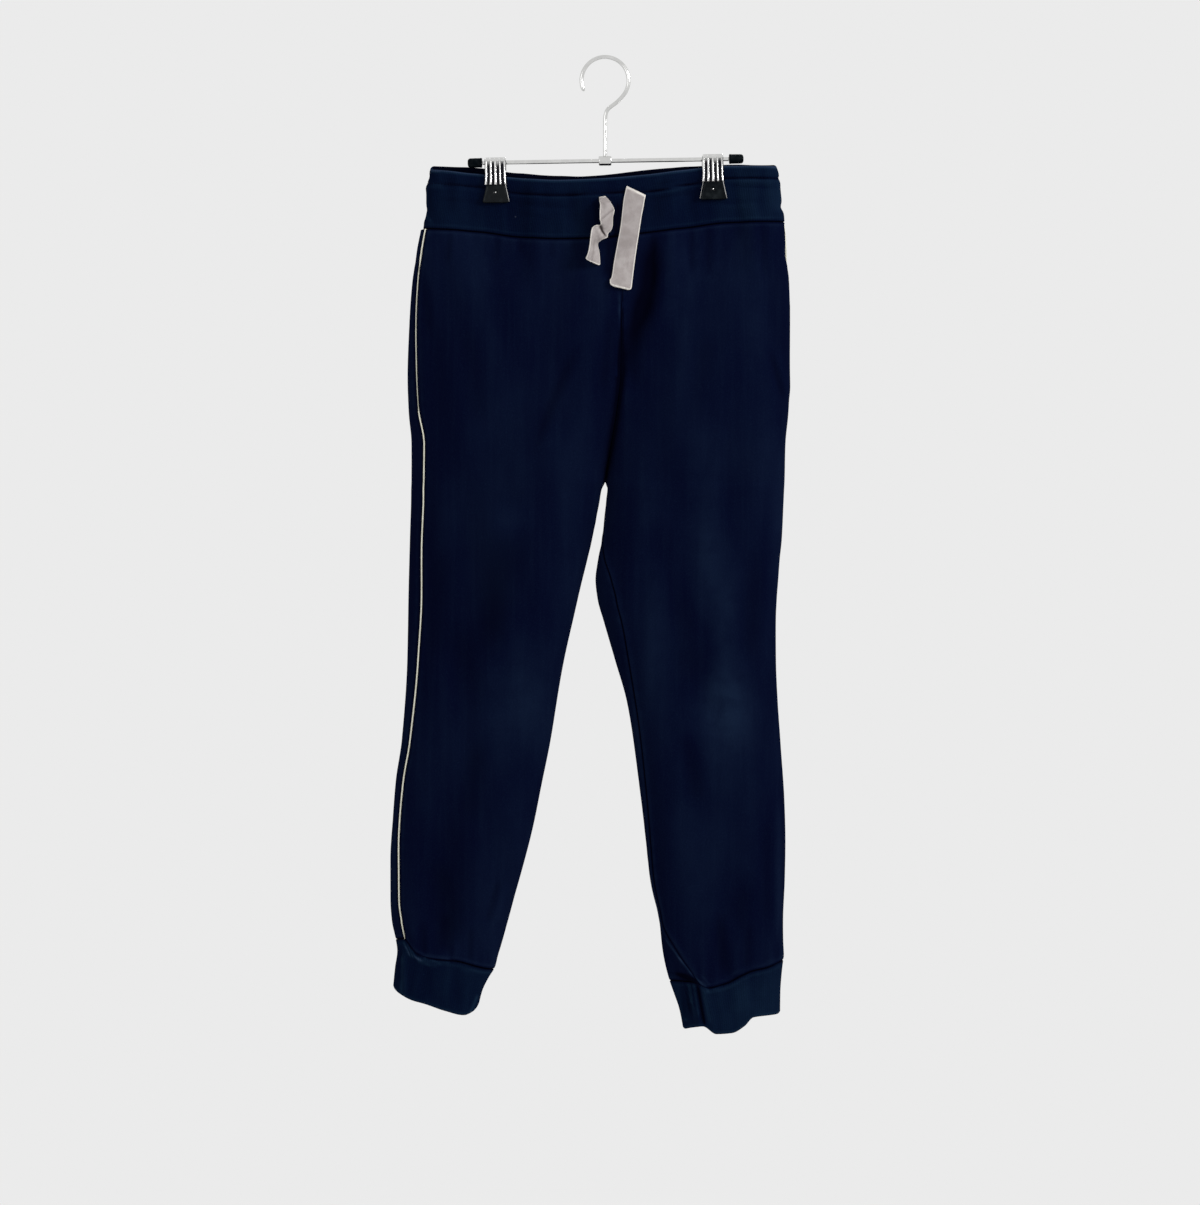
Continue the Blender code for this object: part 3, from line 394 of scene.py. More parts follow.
HIPS = metres(
    HipRow,
    (55, -171.3, 13, 167, 4.5, -1), (70, -174.4, 13.5, 167.8, 5, -0.2), (86, -176.7, 14, 168.2, 5.1, 0.1),
    (106, -179.5, 14.5, 171.3, 5.7, -2), (143, -181.9, 15, 172.6, 6.4, -4),
    (195, -183.4, 14.3, 172.5, 8.6, -6), (227, -182.4, 11, 171.1, 9.4, -6),
    (259, -179.9, 5.8, 167.7, 12.2, -7), (294, -180.1, 0.2, 166.4, 12, -8),
)
LEGS = {
    "right": metres(
        LegRow,
        (300, -180.4, -2.8, 12, 0, 0), (311, -180.6, -4.9, 12.2, 0, 0), (348, -181.9, -11.7, 12, -3, 0),
        (403, -183.4, -25.4, 13.2, -6, 0), (459, -184, -38.1, 10.6, -8, 0), (534, -189, -50.8, 8, -8, 1),
        (571, -194.4, -58.2, 7.2, -8, 2), (608, -197.3, -65.6, 6.6, -8, 2), (645, -199.6, -74.9, 8, -8, 2),
        (683, -199.5, -85.2, 8.3, -8, 2), (714, -197.9, -96.6, 9.1, -8, 2),
        (733, -194.8, -103.1, 8.8, -8, 2),
    ),
    "left": metres(
        LegRow,
        (300, 166, 2.1, -8, 0, -1), (311, 165.4, 1, -8, 0, -1), (348, 163.5, -3, -8, 0.8, -2),
        (366, 161.7, -6.6, -8, 6, -2), (385, 160.4, -9, -8, 14.5, -3), (403, 159.2, -7.2, -8, 17.2, -3),
        (422, 158.6, -2.2, -8, 16.8, -3), (459, 158.9, 8.6, -8, 12.8, -4), (497, 160.4, 19.8, -8, 7.9, -4),
        (534, 162.9, 26.6, -8, 6.3, -5), (590, 166.7, 33.5, -8, 5.3, -5), (627, 167.5, 37.5, -8, 4.4, -6),
        (664, 166.8, 41.6, -8, 3.6, -6), (701, 165.2, 49.7, -8, 3, -6), (724, 165.3, 53, -8, 14, -6),
        (748.5, 165.5, 59.8, -8, 28, -6),
    ),
}
DEPTHS = metres(
    DepthRow,
    (0, 8.5, 8.5, 1, 1), (52, 10.5, 11, 1, 1), (75, 14, 16, 1, 1), (106, 17, 21, 1, 1),
    (143, 19.5, 25.5, 0.97, 1), (190, 21.5, 28, 0.8, 0.92), (227, 22.5, 29, 0.6, 0.75),
    (259, 23, 29, 0.37, 0.5), (280, 22.5, 28, 0.18, 0.25), (294, 22, 27, 0.015, 0.012),
    (348, 21, 25, 0, 0), (459, 19, 21, 0, 0), (534, 18, 18.5, 0, 0), (608, 17, 17, 0, 0),
    (683, 15.5, 15.5, 0, 0), (749, 13.8, 13.8, 0, 0), (806, 12, 12, 0, 0),
)
WAIST_LINES = metres(
    WaistRow,
    (-165, 3.3, 0.2, 59.1), (-116, 8.1, 2, 61.9), (-82, 11.5, 6.2, 66.5), (-45, 13.6, 8.6, 68.7),
    (-10, 12.5, 7.2, 67.9), (40, 8.5, 2.7, 62.9), (78, 3.5, -0.2, 57.8), (115, 0, -1, 53.1),
    (165, 0.8, -1, 52.3),
)
BACK_RISE = metres(
    RiseRow,
    (-165, 0.4), (-150, 0.9), (-125, 0.6), (-87, -0.1), (-64, 0.4), (-42, 0.2), (-20, -1.1), (3, -0.9),
    (25, -0.4), (48, 0), (80, -0.4), (125, 0.6), (165, 0.2),
)
BAND_EDGES = metres(
    CuffEdge,
    (0, -162.2, 159.2), (0.3, -166.1, 162.2), (0.65, -166, 164.4), (0.85, -167, 166.4), (1, -169.2, 167),
)
BAND_PULLS = metres(
    BandPull,
    (-164, 11.2, 2, 4.2), (-165, 40.9, 0.7, 3), (-168, 52.1, -1.1, 3.5), (164, 38.6, -2, 3.8),
)
CUFF_LINES = {
    "right": metres(
        CuffLine,
        (0, 719, 765), (0.08, 718, 769.5), (0.22, 732, 775), (0.38, 736.5, 778.5), (0.62, 738.5, 785),
        (0.84, 744, 789), (0.93, 746, 786.5), (1, 746.8, 782),
    ),
    "left": metres(
        CuffLine,
        (0, 737.7, 787.5), (0.14, 743.8, 788.5), (0.28, 747.2, 790), (0.37, 751.4, 798),
        (0.5, 758.5, 804.5), (0.66, 762.5, 805.5), (0.8, 757.5, 798.5), (1, 756.7, 802.5),
    ),
}
CUFF_EDGES = {
    "right": metres(
        CuffEdge,
        (0, -194.8, -103.1), (0.25, -193.5, -108.5), (0.6, -195.5, -114.2), (1, -197.2, -117.8),
    ),
    "left": metres(
        CuffEdge,
        (0, 165.5, 59.8), (0.3, 164, 64.5), (0.6, 163, 69), (1, 162.6, 72.3),
    ),
}

# The tunnel's stitch line.
STITCH_LINE = metres(
    LinePoint,
    (-165, 16.7), (-116, 20.2), (-82, 24.9), (-45, 27.9), (-10, 25.8), (40, 24.2), (78, 17.2), (115, 11.2),
    (165, 12.1),
)

# The left leg's front steps back towards its inner edge, from just above the cuff.
STEP_LINE = metres(
    LinePoint,
    (52, 700), (70, 729), (88.5, 757), (87, 776), (87.5, 806),
)

FOLDS = {
    "front": metres(
        Fold,
        (50, 66, 30, 155, 14, 4), (36, 130, 14, 215, 13, 4.5), (-18, 165, -58, 262, 12, 2),
        (-150, 420, -105, 520, 16, 2.2), (60, 430, 110, 540, 16, 2.4), (-160, 640, -135, 735, 11, 3),
        (128, 650, 112, 765, 11, 3.5),
    ),
    "back": metres(
        Fold,
        (45, 75, 18, 190, 15, 4), (-40, 75, -10, 180, 15, 3.5), (-70, 270, -140, 330, 15, 4),
        (60, 275, 125, 340, 15, 4), (-80, 440, -150, 500, 15, 3.5), (55, 450, 130, 505, 15, 3.5),
        (-150, 650, -160, 735, 11, 3), (115, 650, 120, 755, 11, 3),
    ),
}

CREASES = {
    "front": metres(
        Crease,
        # The valley from under the left clip to the crotch, with its sharp upper crease.
        (50, 60, 44.6, 100, 3, -1.2, 0, 0), (46.5, 62, 42, 122, 3.5, 1.5, 0, 0.3),
        (50, 46, 33.5, 158, 8.5, 2.4, 0, 0.2), (40, 112, 12, 202, 7, 2.6, 0, 0.2),
        (5, 130, -4, 220, 6, 1, 1, 0.4), (25, 150, 13, 235, 5, -1.2, 0, 0),
        # Short pleats under the waistband.
        (-100, 58, -102, 94, 2.8, 1.1, 0, 0.4), (-79, 62, -80, 84, 2.6, 1, 0, -0.4),
        (-19, 64, -20, 100, 3, 1.1, 0, 0.4), (79, 52, 80, 105, 3, 1.1, 0, -0.4),
        (95, 55, 96, 105, 3.4, 0.8, 0, 0.3), (146, 50, 148, 110, 3.4, 0.9, 0, -0.3),
        (-142, 56, -148, 96, 3, 0.8, 0, 0.3), (-48, 66, -50, 88, 2.4, 0.7, 0, 0.3),
        # The long faint drag line over the right hip, and drags from the left pocket.
        (-21, 160, -68, 275, 4.5, 1.1, -3, 0.5), (152, 170, 168, 222, 3.2, 1.3, 0, 0.5),
        (-172, 95, -164, 165, 5, 0.9, 1, 0.4), (-130, 140, -118, 250, 11, 0.8, 3, 0.3),
        (95, 150, 82, 262, 11, 0.8, -2, 0.3),
        # Thighs and knees.
        (-90, 330, -115, 470, 14, 1.1, 4, 0.3), (48, 320, 80, 455, 13, 1.1, -3, 0.3),
        (138, 350, 130, 470, 11, 0.8, 2, -0.3), (-152, 350, -160, 480, 11, 0.8, -2, 0.3),
        (72, 520, 86, 600, 9, 1, 2, 0.4), (-118, 530, -128, 620, 10, 1, -2, -0.4),
        # The ridge along the left leg's outer edge, and drags above its cuff.
        (160, 570, 160, 740, 4, -1.2, 0, 0), (148, 590, 150, 720, 7, 1, 0, 0),
        (53.5, 705, 62, 724, 3, -1.2, 0, 0), (56, 708, 92, 764, 2.6, -1.8, -1.5, 0),
        (65, 728, 79, 754, 2, -1.3, 0, 0), (60, 722, 70, 748, 2.2, 1, 0, 0),
        (70, 751.5, 86, 753, 2.6, 2.2, 0, 0), (105, 690, 112, 760, 5, 1.3, 0, 0.4),
        (133, 700, 130, 756, 4.2, 1, 0, -0.4),
        # Above the right leg's cuff.
        (-97.7, 660, -110, 708, 3.2, 1.3, 0, 0.4), (-149, 690, -150, 736, 6, 1.1, 0, 0.3),
        (-185, 726, -156, 742, 2.8, -1.1, 0, 0), (-170, 700, -168, 738, 4, 0.9, 0, 0.3),
        (-125, 705, -127, 744, 3.6, 0.9, 0, -0.4),
    ),
    "back": metres(
        Crease,
        # The back hangs the same way, with the drags of the seat.
        (45, 62, 40, 125, 3.4, 1.4, 0, -0.4), (30, 95, 13, 215, 6, 1.3, 2, -0.4),
        (-48, 70, -43, 118, 3.4, 1.2, 0, 0.4), (-30, 110, -8, 205, 6, 1.2, -2, 0.4),
        (10, 190, 3, 285, 2.6, 1.7, 0, 0), (-105, 58, -108, 98, 3, 1.1, 0, -0.4),
        (-78, 62, -77, 88, 2.6, 0.9, 0, 0.4), (12, 64, 13, 96, 2.8, 1, 0, -0.3),
        (82, 54, 84, 100, 3, 1.1, 0, 0.4), (108, 52, 109, 83, 2.8, 0.9, 0, -0.4),
        (140, 52, 143, 98, 3.2, 0.9, 0, 0.3), (-144, 58, -149, 94, 3.2, 0.9, 0, -0.3),
        (-20, 240, -85, 302, 8, 1.5, -5, 0.4), (25, 235, 85, 305, 8, 1.4, 6, -0.4),
        (-90, 290, -155, 325, 7.5, 1.2, 0, 0.4), (75, 300, 138, 330, 8, 1.2, 0, -0.4),
        (-75, 400, -150, 445, 7, 1.2, 4, 0.4), (-90, 470, -160, 492, 6.5, 1.3, -3, -0.4),
        (-80, 510, -145, 540, 7, 1, 2, 0.4), (45, 415, 115, 450, 7, 1.2, 3, -0.4),
        (60, 478, 135, 496, 6.5, 1.3, -2, 0.4), (55, 520, 120, 548, 7, 1, 3, -0.4),
        (-130, 590, -142, 690, 9, 1, 2, 0.3), (90, 600, 100, 700, 9, 1, -2, 0.3),
        (-168, 690, -170, 736, 4.5, 1.1, 0, 0.4), (-125, 700, -127, 742, 4, 1.1, 0, -0.4),
        (88, 715, 90, 757, 3.8, 1, 0, 0.4), (129, 705, 128, 755, 4.2, 1.1, 0, -0.4),
    ),
    "cuff_front": metres(
        Crease,
        # The pleats of the left cuff's folded side, and soft dents.
        (75.6, 750, 80.6, 796, 1.5, 1.4, 0, 0.8), (70, 755, 74.5, 790, 1.6, 0.7, 0, -0.5),
        (85, 752, 91.8, 803, 2.3, 2, 0, 0.5), (80, 757, 83.2, 784, 1.3, -0.8, 0, 0),
        (95, 766, 128, 757, 2, -0.7, 0, 0), (115, 760, 113, 790, 4.5, 0.7, 0, 0.3),
        (138, 745, 140, 785, 5, 0.7, 0, -0.3), (-186.6, 722, -185.8, 778, 2.2, -1.2, 0, 0),
        (-190.5, 722, -189.5, 765, 1.8, 0.9, 0, 0), (-185, 728, -160, 743, 1.8, -0.8, 0, 0),
        (-164, 740, -165, 775, 4.8, 0.7, 0, 0.3), (-136, 742, -139, 785, 4.8, 0.7, 0, -0.3),
    ),
    "cuff_back": metres(
        Crease,
        (-172, 735, -174, 770, 4.5, 0.8, 0, -0.3), (-140, 742, -142, 780, 4.2, 0.8, 0, 0.3),
        (90, 760, 93, 800, 4, 0.9, 0, 0.4), (130, 750, 132, 790, 4.5, 0.8, 0, -0.3),
    ),
    "band_front": metres(
        Crease,
        # Long shallow wrinkles along the elastic.
        (-160, 31, -105, 34.5, 1.6, 0.6, 0, 0.5), (-90, 34.5, -25, 40.5, 1.8, 0.6, 0, -0.5),
        (-82, 45.5, -50, 50, 1.6, 0.4, 0, 0.5), (38, 33, 86, 23.5, 1.7, 0.8, 0, 0.5),
        (42, 19, 90, 10.5, 1.8, 0.7, 0, -0.5), (112, 18, 162, 21.5, 1.7, 0.8, 0, 0.5),
        (95, 35, 150, 33, 1.8, 0.6, 0, -0.5), (118, 6, 160, 7, 1.6, 0.5, 0, 0.4),
        (-158, 12, -120, 14, 1.6, 0.5, 0, 0.4),
        # Soft dents beside the clips and where the drawcord pulls.
        (-74, 14, -76, 52, 6.5, 0.9, 0, 0.2), (-31, 18, -28, 56, 8, 0.7, 0, -0.3),
        (52, 10, 49, 55, 6, 0.9, 0, 0.3), (78, 8, 79, 50, 5.5, 0.6, 0, -0.3),
        (142, 4, 144, 48, 7, 0.7, 0, 0.3), (-143, 6, -145, 50, 7, 0.7, 0, -0.3),
    ),
    "band_back": metres(
        Crease,
        # Long shallow wrinkles along the elastic.
        (-150, 28, -80, 33, 1.8, 0.7, 0, 0.5), (-60, 38, 0, 42, 1.8, 0.6, 0, -0.5),
        (20, 30, 80, 24, 1.8, 0.7, 0, 0.5), (90, 35, 150, 31, 1.8, 0.6, 0, -0.5),
        # Soft dents beside the clips and where the drawcord pulls.
        (-70, 10, -69, 55, 7, 0.9, 0, 0.3), (-15, 12, -17, 58, 9, 0.7, 0, -0.3),
        (35, 10, 36, 54, 8, 0.8, 0, 0.3), (141, 4, 143, 48, 7, 0.7, 0, -0.3),
        (-142, 6, -144, 50, 7, 0.7, 0, 0.3),
    ),
}

# Lines of painted highlight on each face, or of painted shade where amount is below 0.
# "soft" holds where a seam's edges roll over less.
STREAKS = {
    "front": metres(
        Streak,
        (4.7, 68.8, 1.9, 98.6, 3.8, -0.8), (14.7, 115.3, 10.8, 195.3, 0.8, 0.75),
        (-187.4, 718.9, -183.2, 729.1, 0.8, 0.9), (-184.1, 728.2, -173.9, 733.3, 0.9, 0.8),
        (-175.8, 732.8, -145.1, 736.6, 0.9, 0.7), (63.2, 729.1, 85.6, 755.2, 0.6, 0.9),
        (59.5, 729.1, 73.5, 745.9, 0.5, 0.6), (83.7, 754.2, 94.9, 762.6, 1, 1),
        (90.2, 751.4, 95.8, 758.9, 0.7, 0.5),
    ),
    "back": metres(
        Streak,
        (55.8, 718, 69.8, 736.6, 0.7, 1), (69.8, 736.6, 81.8, 751.4, 0.9, 1),
        (62.3, 721.7, 79.1, 744, 0.6, 0.7), (69.8, 751.9, 83.7, 755.2, 2.3, -1.9),
    ),
    "cuff_front": metres(
        Streak,
        (-184.1, 726.3, -166.5, 735.6, 1.1, 0.95), (-168.3, 733.8, -153.5, 740.3, 1, 0.8),
        (-181.4, 731.9, -161.8, 743.1, 0.9, 0.6), (-186.5, 722.6, -182.3, 731.9, 0.9, 1),
        (-182.3, 731.9, -171.1, 737.5, 0.9, 1), (-173, 738.4, -157.2, 742.1, 0.8, 0.9),
        (-168.3, 737, -145.1, 739.4, 0.8, 0.5), (-119, 772.8, -124.6, 785.9, 1.4, 0.9),
        (-129.3, 746.8, -107.9, 749.6, 1.4, 0.3), (-188.8, 736.6, -189.3, 766.3, 1.2, 0.7),
        (85.6, 758, 95.8, 764.5, 0.9, 1.1), (93, 766.8, 107, 760.7, 0.9, 0.7),
        (77.2, 759.8, 79.5, 776.6, 0.8, 0.8), (80, 759.8, 82.8, 779.3, 0.7, -0.9),
        (82.4, 759.8, 86.5, 787.7, 0.7, 0.6), (85.6, 761.7, 92.1, 795.2, 1.2, -1.1),
        (73.5, 760.7, 78.1, 784.9, 0.9, -0.5), (89.3, 762.6, 96.7, 792.4, 1.6, 0.35),
        (142.3, 744, 160, 740.3, 1, 0.5), (67, 789.6, 75.3, 793.3, 1, 0.6),
    ),
    "band_front": metres(
        Streak,
        (12.1, 39.1, 9.3, 65.1, 3, -0.9), (-8.4, 37.2, -7.4, 52.1, 2.2, -0.5),
        (-162.8, 4.7, -155.3, 6, 1.4, 0.9), (-164.6, 16.7, -152.5, 19.5, 1.4, 0.5),
        (-165.5, 22.3, -165.1, 45.6, 1.2, 0.4), (-167.4, 45.6, -161.8, 52.1, 1.4, 0.6),
    ),
    "soft": metres(
        Streak,
        (-188.8, 723.5, -147.9, 735.6, 4.5, 0.8), (14.7, 113.5, 10.4, 199, 3.5, 0.88),
        (-184.1, 720.8, -177.6, 731, 3.5, 0.85), (-177.6, 731, -162.8, 736.6, 3.5, 0.85),
        (-162.8, 736.6, -145.1, 738.4, 3.5, 0.85), (60.5, 718, 86.5, 758, 3.5, 0.85),
        (85.6, 758, 95.8, 764.5, 3, 0.8),
    ),
}

PATCHES = {
    "front": metres(
        Patch,
        (105, 505, 23, 36, 1), (-84, 488, 42, 47, 0.4), (-120, 400, 60, 130, -0.24),
        (-140, 650, 40, 60, -0.14), (105, 650, 30, 60, 0.14), (-84, 330, 18, 15, 0.3),
        (90, 380, 45, 60, 0.25),
    ),
    "back": metres(
        Patch,
        (85, 200, 55, 60, 0.45), (-95, 205, 55, 60, 0.45), (90, 500, 30, 40, 0.35),
        (-120, 500, 30, 40, 0.35),
    ),
    "cuff_front": metres(
        Patch,
        (135, 775, 40, 30, 0.3),
    ),
    "band_front": metres(
        Patch,
        (150, 30, 45, 35, 0.5),
    ),
}

FLAT_TAPE = metres(
    TapeRow,
    (0, 20, 19.6, 0.4, 38, 28.3, 0.4), (0.03, 19, 23.5, 1.6, 37, 31.8, 1.4),
    (0.12, 17.2, 32, 1.2, 35.8, 39, 1), (0.23, 16, 42, 1, 34.1, 47.5, 0.8),
    (0.4, 14.3, 57, 1, 31.7, 63, 0.8), (0.6, 11, 75, 1.4, 28.8, 82, 0.9),
    (0.79, 8, 91.7, 1.8, 26.4, 100, 1.1), (0.92, 5.8, 105.5, 2.2, 25.2, 110.5, 1.3),
    (0.945, 4.4, 107.5, 2.4, 25, 112.5, 1.4), (1, 4.4, 112.8, 2.6, 24, 117.6, 1.6),
)

TWISTED_TAPE = metres(
    TapeRow,
    (0, -5.7, 29.8, 0.6, 0.4, 28.9, 0.4), (0.06, -5, 34.5, 8, 3.8, 32.5, 1),
    (0.15, -4.1, 39.2, 11.8, 6.4, 36.5, 1.2), (0.26, -4.7, 46, 12.2, 8.9, 42.8, 1.4),
    (0.36, -4.4, 52.8, 11.2, 7.5, 50, 1.4), (0.43, -3.8, 56.2, 9.8, 7.4, 56, 1.6),
    (0.48, -5.2, 57.2, 9.4, 6, 61, 1.8), (0.53, -9.2, 57.6, 10, 3, 64.5, 2.2),
    (0.58, -12, 60.2, 10.8, 2.6, 67.6, 2.4), (0.64, -12.7, 65, 11.6, -3, 70.6, 1.8),
    (0.72, -13.5, 73.6, 12.2, -6.4, 74.4, 1.4), (0.83, -15.2, 82.6, 12.4, -4.8, 82.8, 1.2),
    (1, -18.1, 89.4, 11.8, -4.1, 94.6, 1.4),
)

JAW_STATIONS = metres(
    JawRow,
    (3.8, 2, 0.9, 0, 0), (3.2, 1.9, 0.94, 0.1, 0), (2.4, 1.6, 0.95, 0.3, 0.1), (0.8, 1, 0.96, 0.6, 0.4),
    (0, 0, 0.97, 0.8, 0.6), (-5, -0.1, 0.965, 1, 1), (-13, 0, 0.97, 1, 1), (-18, 0.3, 1, 1, 1),
    (-20.3, 0.5, 1.03, 1, 1), (-21.1, 0.6, 1.04, 0.7, 1), (-21.5, 0.6, 1.05, 0.1, 1),
)


def curve(places, values):
    """A smooth curve through the values that never swings past them."""
    places = np.asarray(places, dtype=float)
    values = np.asarray(values, dtype=float)
    steps = np.diff(places)
    rises = np.diff(values) / steps
    slopes = np.zeros_like(values)
    slopes[0], slopes[-1] = rises[0], rises[-1]
    for i in range(1, len(values) - 1):
        if rises[i - 1] * rises[i] > 0:
            slopes[i] = 2.0 * rises[i - 1] * rises[i] / (rises[i - 1] + rises[i])

    def value(place):
        place = np.clip(place, places[0], places[-1])
        i = np.clip(np.searchsorted(places, place, side="right") - 1, 0, len(steps) - 1)
        t = (place - places[i]) / steps[i]
        low = (1 + 2 * t) * (1 - t) ** 2 * values[i] + t * (1 - t) ** 2 * steps[i] * slopes[i]
        high = t * t * (3 - 2 * t) * values[i + 1] - t * t * (1 - t) * steps[i] * slopes[i + 1]
        return low + high

    return value


def table(rows, key, name):
    """The curve of one column of a table over its key column."""
    return curve([getattr(row, key) for row in rows], [getattr(row, name) for row in rows])


def tables(rows, key, names):
    return {name: table(rows, key, name) for name in names}


def ease(start, end, place):
    """0 before start, 1 after end, smooth between."""
    t = np.clip((place - start) / (end - start), 0.0, 1.0)
    return t * t * (3.0 - 2.0 * t)


def clear(first, second, fade):
    """0 at two opposite edges and 1 further than fade from both."""
    return ease(0.0, fade, first) * ease(0.0, fade, second)


def bell(distance, half):
    """1 at no distance, soft to both sides."""
    return np.exp(-(distance / half) ** 2)


def soft_lines(distance, rows):
    """Soft lines beside an edge, each with its amount, its distance and its half-width."""
    return sum(amount * bell(distance - at, half) for amount, at, half in rows)


def unit(vectors):
    return vectors / np.linalg.norm(vectors, axis=-1, keepdims=True)


def hoop(centre, first, second, sides):
    """Points once round a centre, from its first radius towards its second."""
    turns = np.linspace(0.0, FULL_TURN, sides, endpoint=False)[:, None]
    return centre + np.cos(turns) * first + np.sin(turns) * second


centre_at = table(HIPS, "drop", "centre")
depth_at = tables(DEPTHS, "drop", DepthRow._fields[1:])
waist_at = tables(WAIST_LINES, "x", WaistRow._fields[1:])
back_rise_at = table(BACK_RISE, "x", "rise")
hip_edge_at = tables(HIPS, "drop", ("right_edge", "left_edge"))
band_edge_at = tables(BAND_EDGES, "down", ("outer", "inner"))
stitch_at = table(STITCH_LINE, "x", "drop")
step_at = table(STEP_LINE, "drop", "x")


def beside(line, x, drop, bow=0.0):
    """The share along a line from its top to its low end, the distance to its side, and its
    length."""
    run_x, run_drop = line.end_x - line.x, line.end_drop - line.drop
    length = math.hypot(run_x, run_drop)
    along = ((x - line.x) * run_x + (drop - line.drop) * run_drop) / length ** 2
    middle = 4.0 * bow * np.clip(along * (1.0 - along), 0.0, 1.0)
    aside = ((x - line.x - middle) * run_drop - (drop - line.drop) * run_x) / length
    return along, aside, length


def tapered(along, ends):
    """1 along a line's middle, fading to 0 at both its ends."""
    return ease(0.0, ends, along) * (1.0 - ease(1.0 - ends, 1.0, along))


def grip(x, drop):
    """How fully the clips hold front and back together, from 0 to 1."""
    hold = sum(np.exp(-((x - clip) / GRIP_REACH) ** 6) for clip in CLIP_X)
    return hold * (1.0 - ease(GRIP_START, GRIP_END, drop))


def fold_depth(face, x, drop):
    """How far the face's folds push its cloth inwards."""
    total = np.zeros_like(x)
    for fold in FOLDS[face]:
        along, aside, _ = beside(fold, x, drop)
        total = total + fold.depth * tapered(along, FOLD_ENDS) * bell(aside, fold.width)
    return total


def crease_relief(face, x, drop):
    """How far the creases of one face raise it, negative where they sink it."""
    total = np.zeros_like(x)
    for crease in CREASES[face]:
        along, aside, _ = beside(crease, x, drop, crease.bow)
        depth = crease.depth * tapered(along, CREASE_ENDS)
        total = total - depth * bell(aside, crease.width)
        if crease.lean:
            apart = aside - math.copysign(LEAN_REACH * crease.width, crease.lean)
            total = total + abs(crease.lean) * depth * bell(apart, LEAN_WIDTH * crease.width)
    return total


def streak_amounts(face, x, drop):
    """The narrow lines of painted highlight or painted shade of this face, or how softly a seam's edges
    roll.
    """
    wear_and_light = np.zeros_like(x)
    for streak in STREAKS.get(face, ()):
        along, aside, length = beside(streak, x, drop)
        past = np.maximum(np.abs(along - 0.5) - 0.5, 0.0) * length
        wear_and_light = wear_and_light + streak.amount * bell(aside, streak.half) * bell(past, STREAK_ENDS * streak.half)
    return wear_and_light


def patch_tone(face, x, drop):
    """The broad paler or darker patches of this face."""
    return sum(patch.fade * bell(x - patch.x, patch.half_width)
               * bell(drop - patch.drop, patch.half_height) for patch in PATCHES[face])


def relief_wear_and_shade(relief):
    """Raised cloth rubs paler, partly as a painted highlight, and sunk cloth gets painted shade."""
    return np.clip(RELIEF_WEAR_AND_SHADE * relief, *WEAR_AND_SHADE_LIMITS)


def slack(seed, x, drop, height, across_wave, down_wave):
    """Low, uneven waves of slack cloth, the same on each run."""
    chance = np.random.default_rng(seed)
    total = np.zeros_like(x)
    for _ in range(WAVE_COUNT):
        wave_x = across_wave * chance.uniform(*WAVE_RANGE)
        wave_drop = down_wave * chance.uniform(*RUN_RANGE) * chance.choice((-1.0, 1.0))
        start = chance.uniform(0.0, FULL_TURN)
        total = total + np.sin(FULL_TURN * (x / wave_x + drop / wave_drop) + start)
    return height * total / math.sqrt(WAVE_COUNT)


def seam_pucker(seed, u, beyond, drops):
    """Small uneven puckers where a seam's thread draws the cloth in."""
    wave = slack(seed + PUCKER_SEED, 0.0 * u, drops, *SEAM_PUCKER)
    wave = wave * ease(*PUCKER_FADE, u) * ease(*PUCKER_FADE, beyond)
    return wave * (bell(u, PUCKER_REACH) + bell(beyond, PUCKER_REACH))


def gathers(seed, x, down, left):
    """Small gathers where a panel is eased into the waistband and into the cuff."""
    total = 0.0
    for extra, away, waves, reach in ((TOP_SEED, down, TOP_GATHERS, TOP_GATHER_REACH),
                                      (LOW_SEED, left, LOW_GATHERS, LOW_GATHER_REACH)):
        wave = slack(seed + extra, x, GATHER_LEAN * away, *waves)
        total = total + wave * bell(away, reach) * ease(*GATHER_FADE, away)
    return total


def half_depth(face, across, half_width, drop, x):
    """The cloth's distance from its plane. across runs from -1 at the outer edge to 1 at
    the inner edge, or at the centre seam above the crotch."""
    full = depth_at[face](drop)
    rise = depth_at[face + "_rise"](drop) if drop <= CROTCH_DROP else 0.0
    edge = max(ROUNDEST_EDGE, 2.0 * half_width * FOLD_RADIUS / full ** 2)
    round_off = np.clip(1.0 - np.abs(across) ** edge, 0.0, 1.0)
    outer_half = full * np.sqrt(round_off)
    inner_half = full * (rise + (1.0 - rise) * round_off ** (0.5 + rise))
    depth = np.where(across < 0.0, outer_half, inner_half)
    share = depth / full
    gripped = np.minimum(depth, GRIPPED_HALF * share ** 0.5)
    held = grip(x, drop)
    depth = depth * (1.0 - held) + gripped * held
    push = fold_depth(face, x, drop) * np.minimum(1.0, share * FOLD_ONSET)
    return depth - np.minimum(push, FOLD_LIMIT * depth)


def left_step(x, drop):
    """How far the left leg's front steps back beside its cuff's fold."""
    reach = ease(STEP_START, STEP_FULL, drop)
    return STEP_DEPTH * reach * (1.0 - ease(step_at(drop) - STEP_WIDTH, step_at(drop), x))


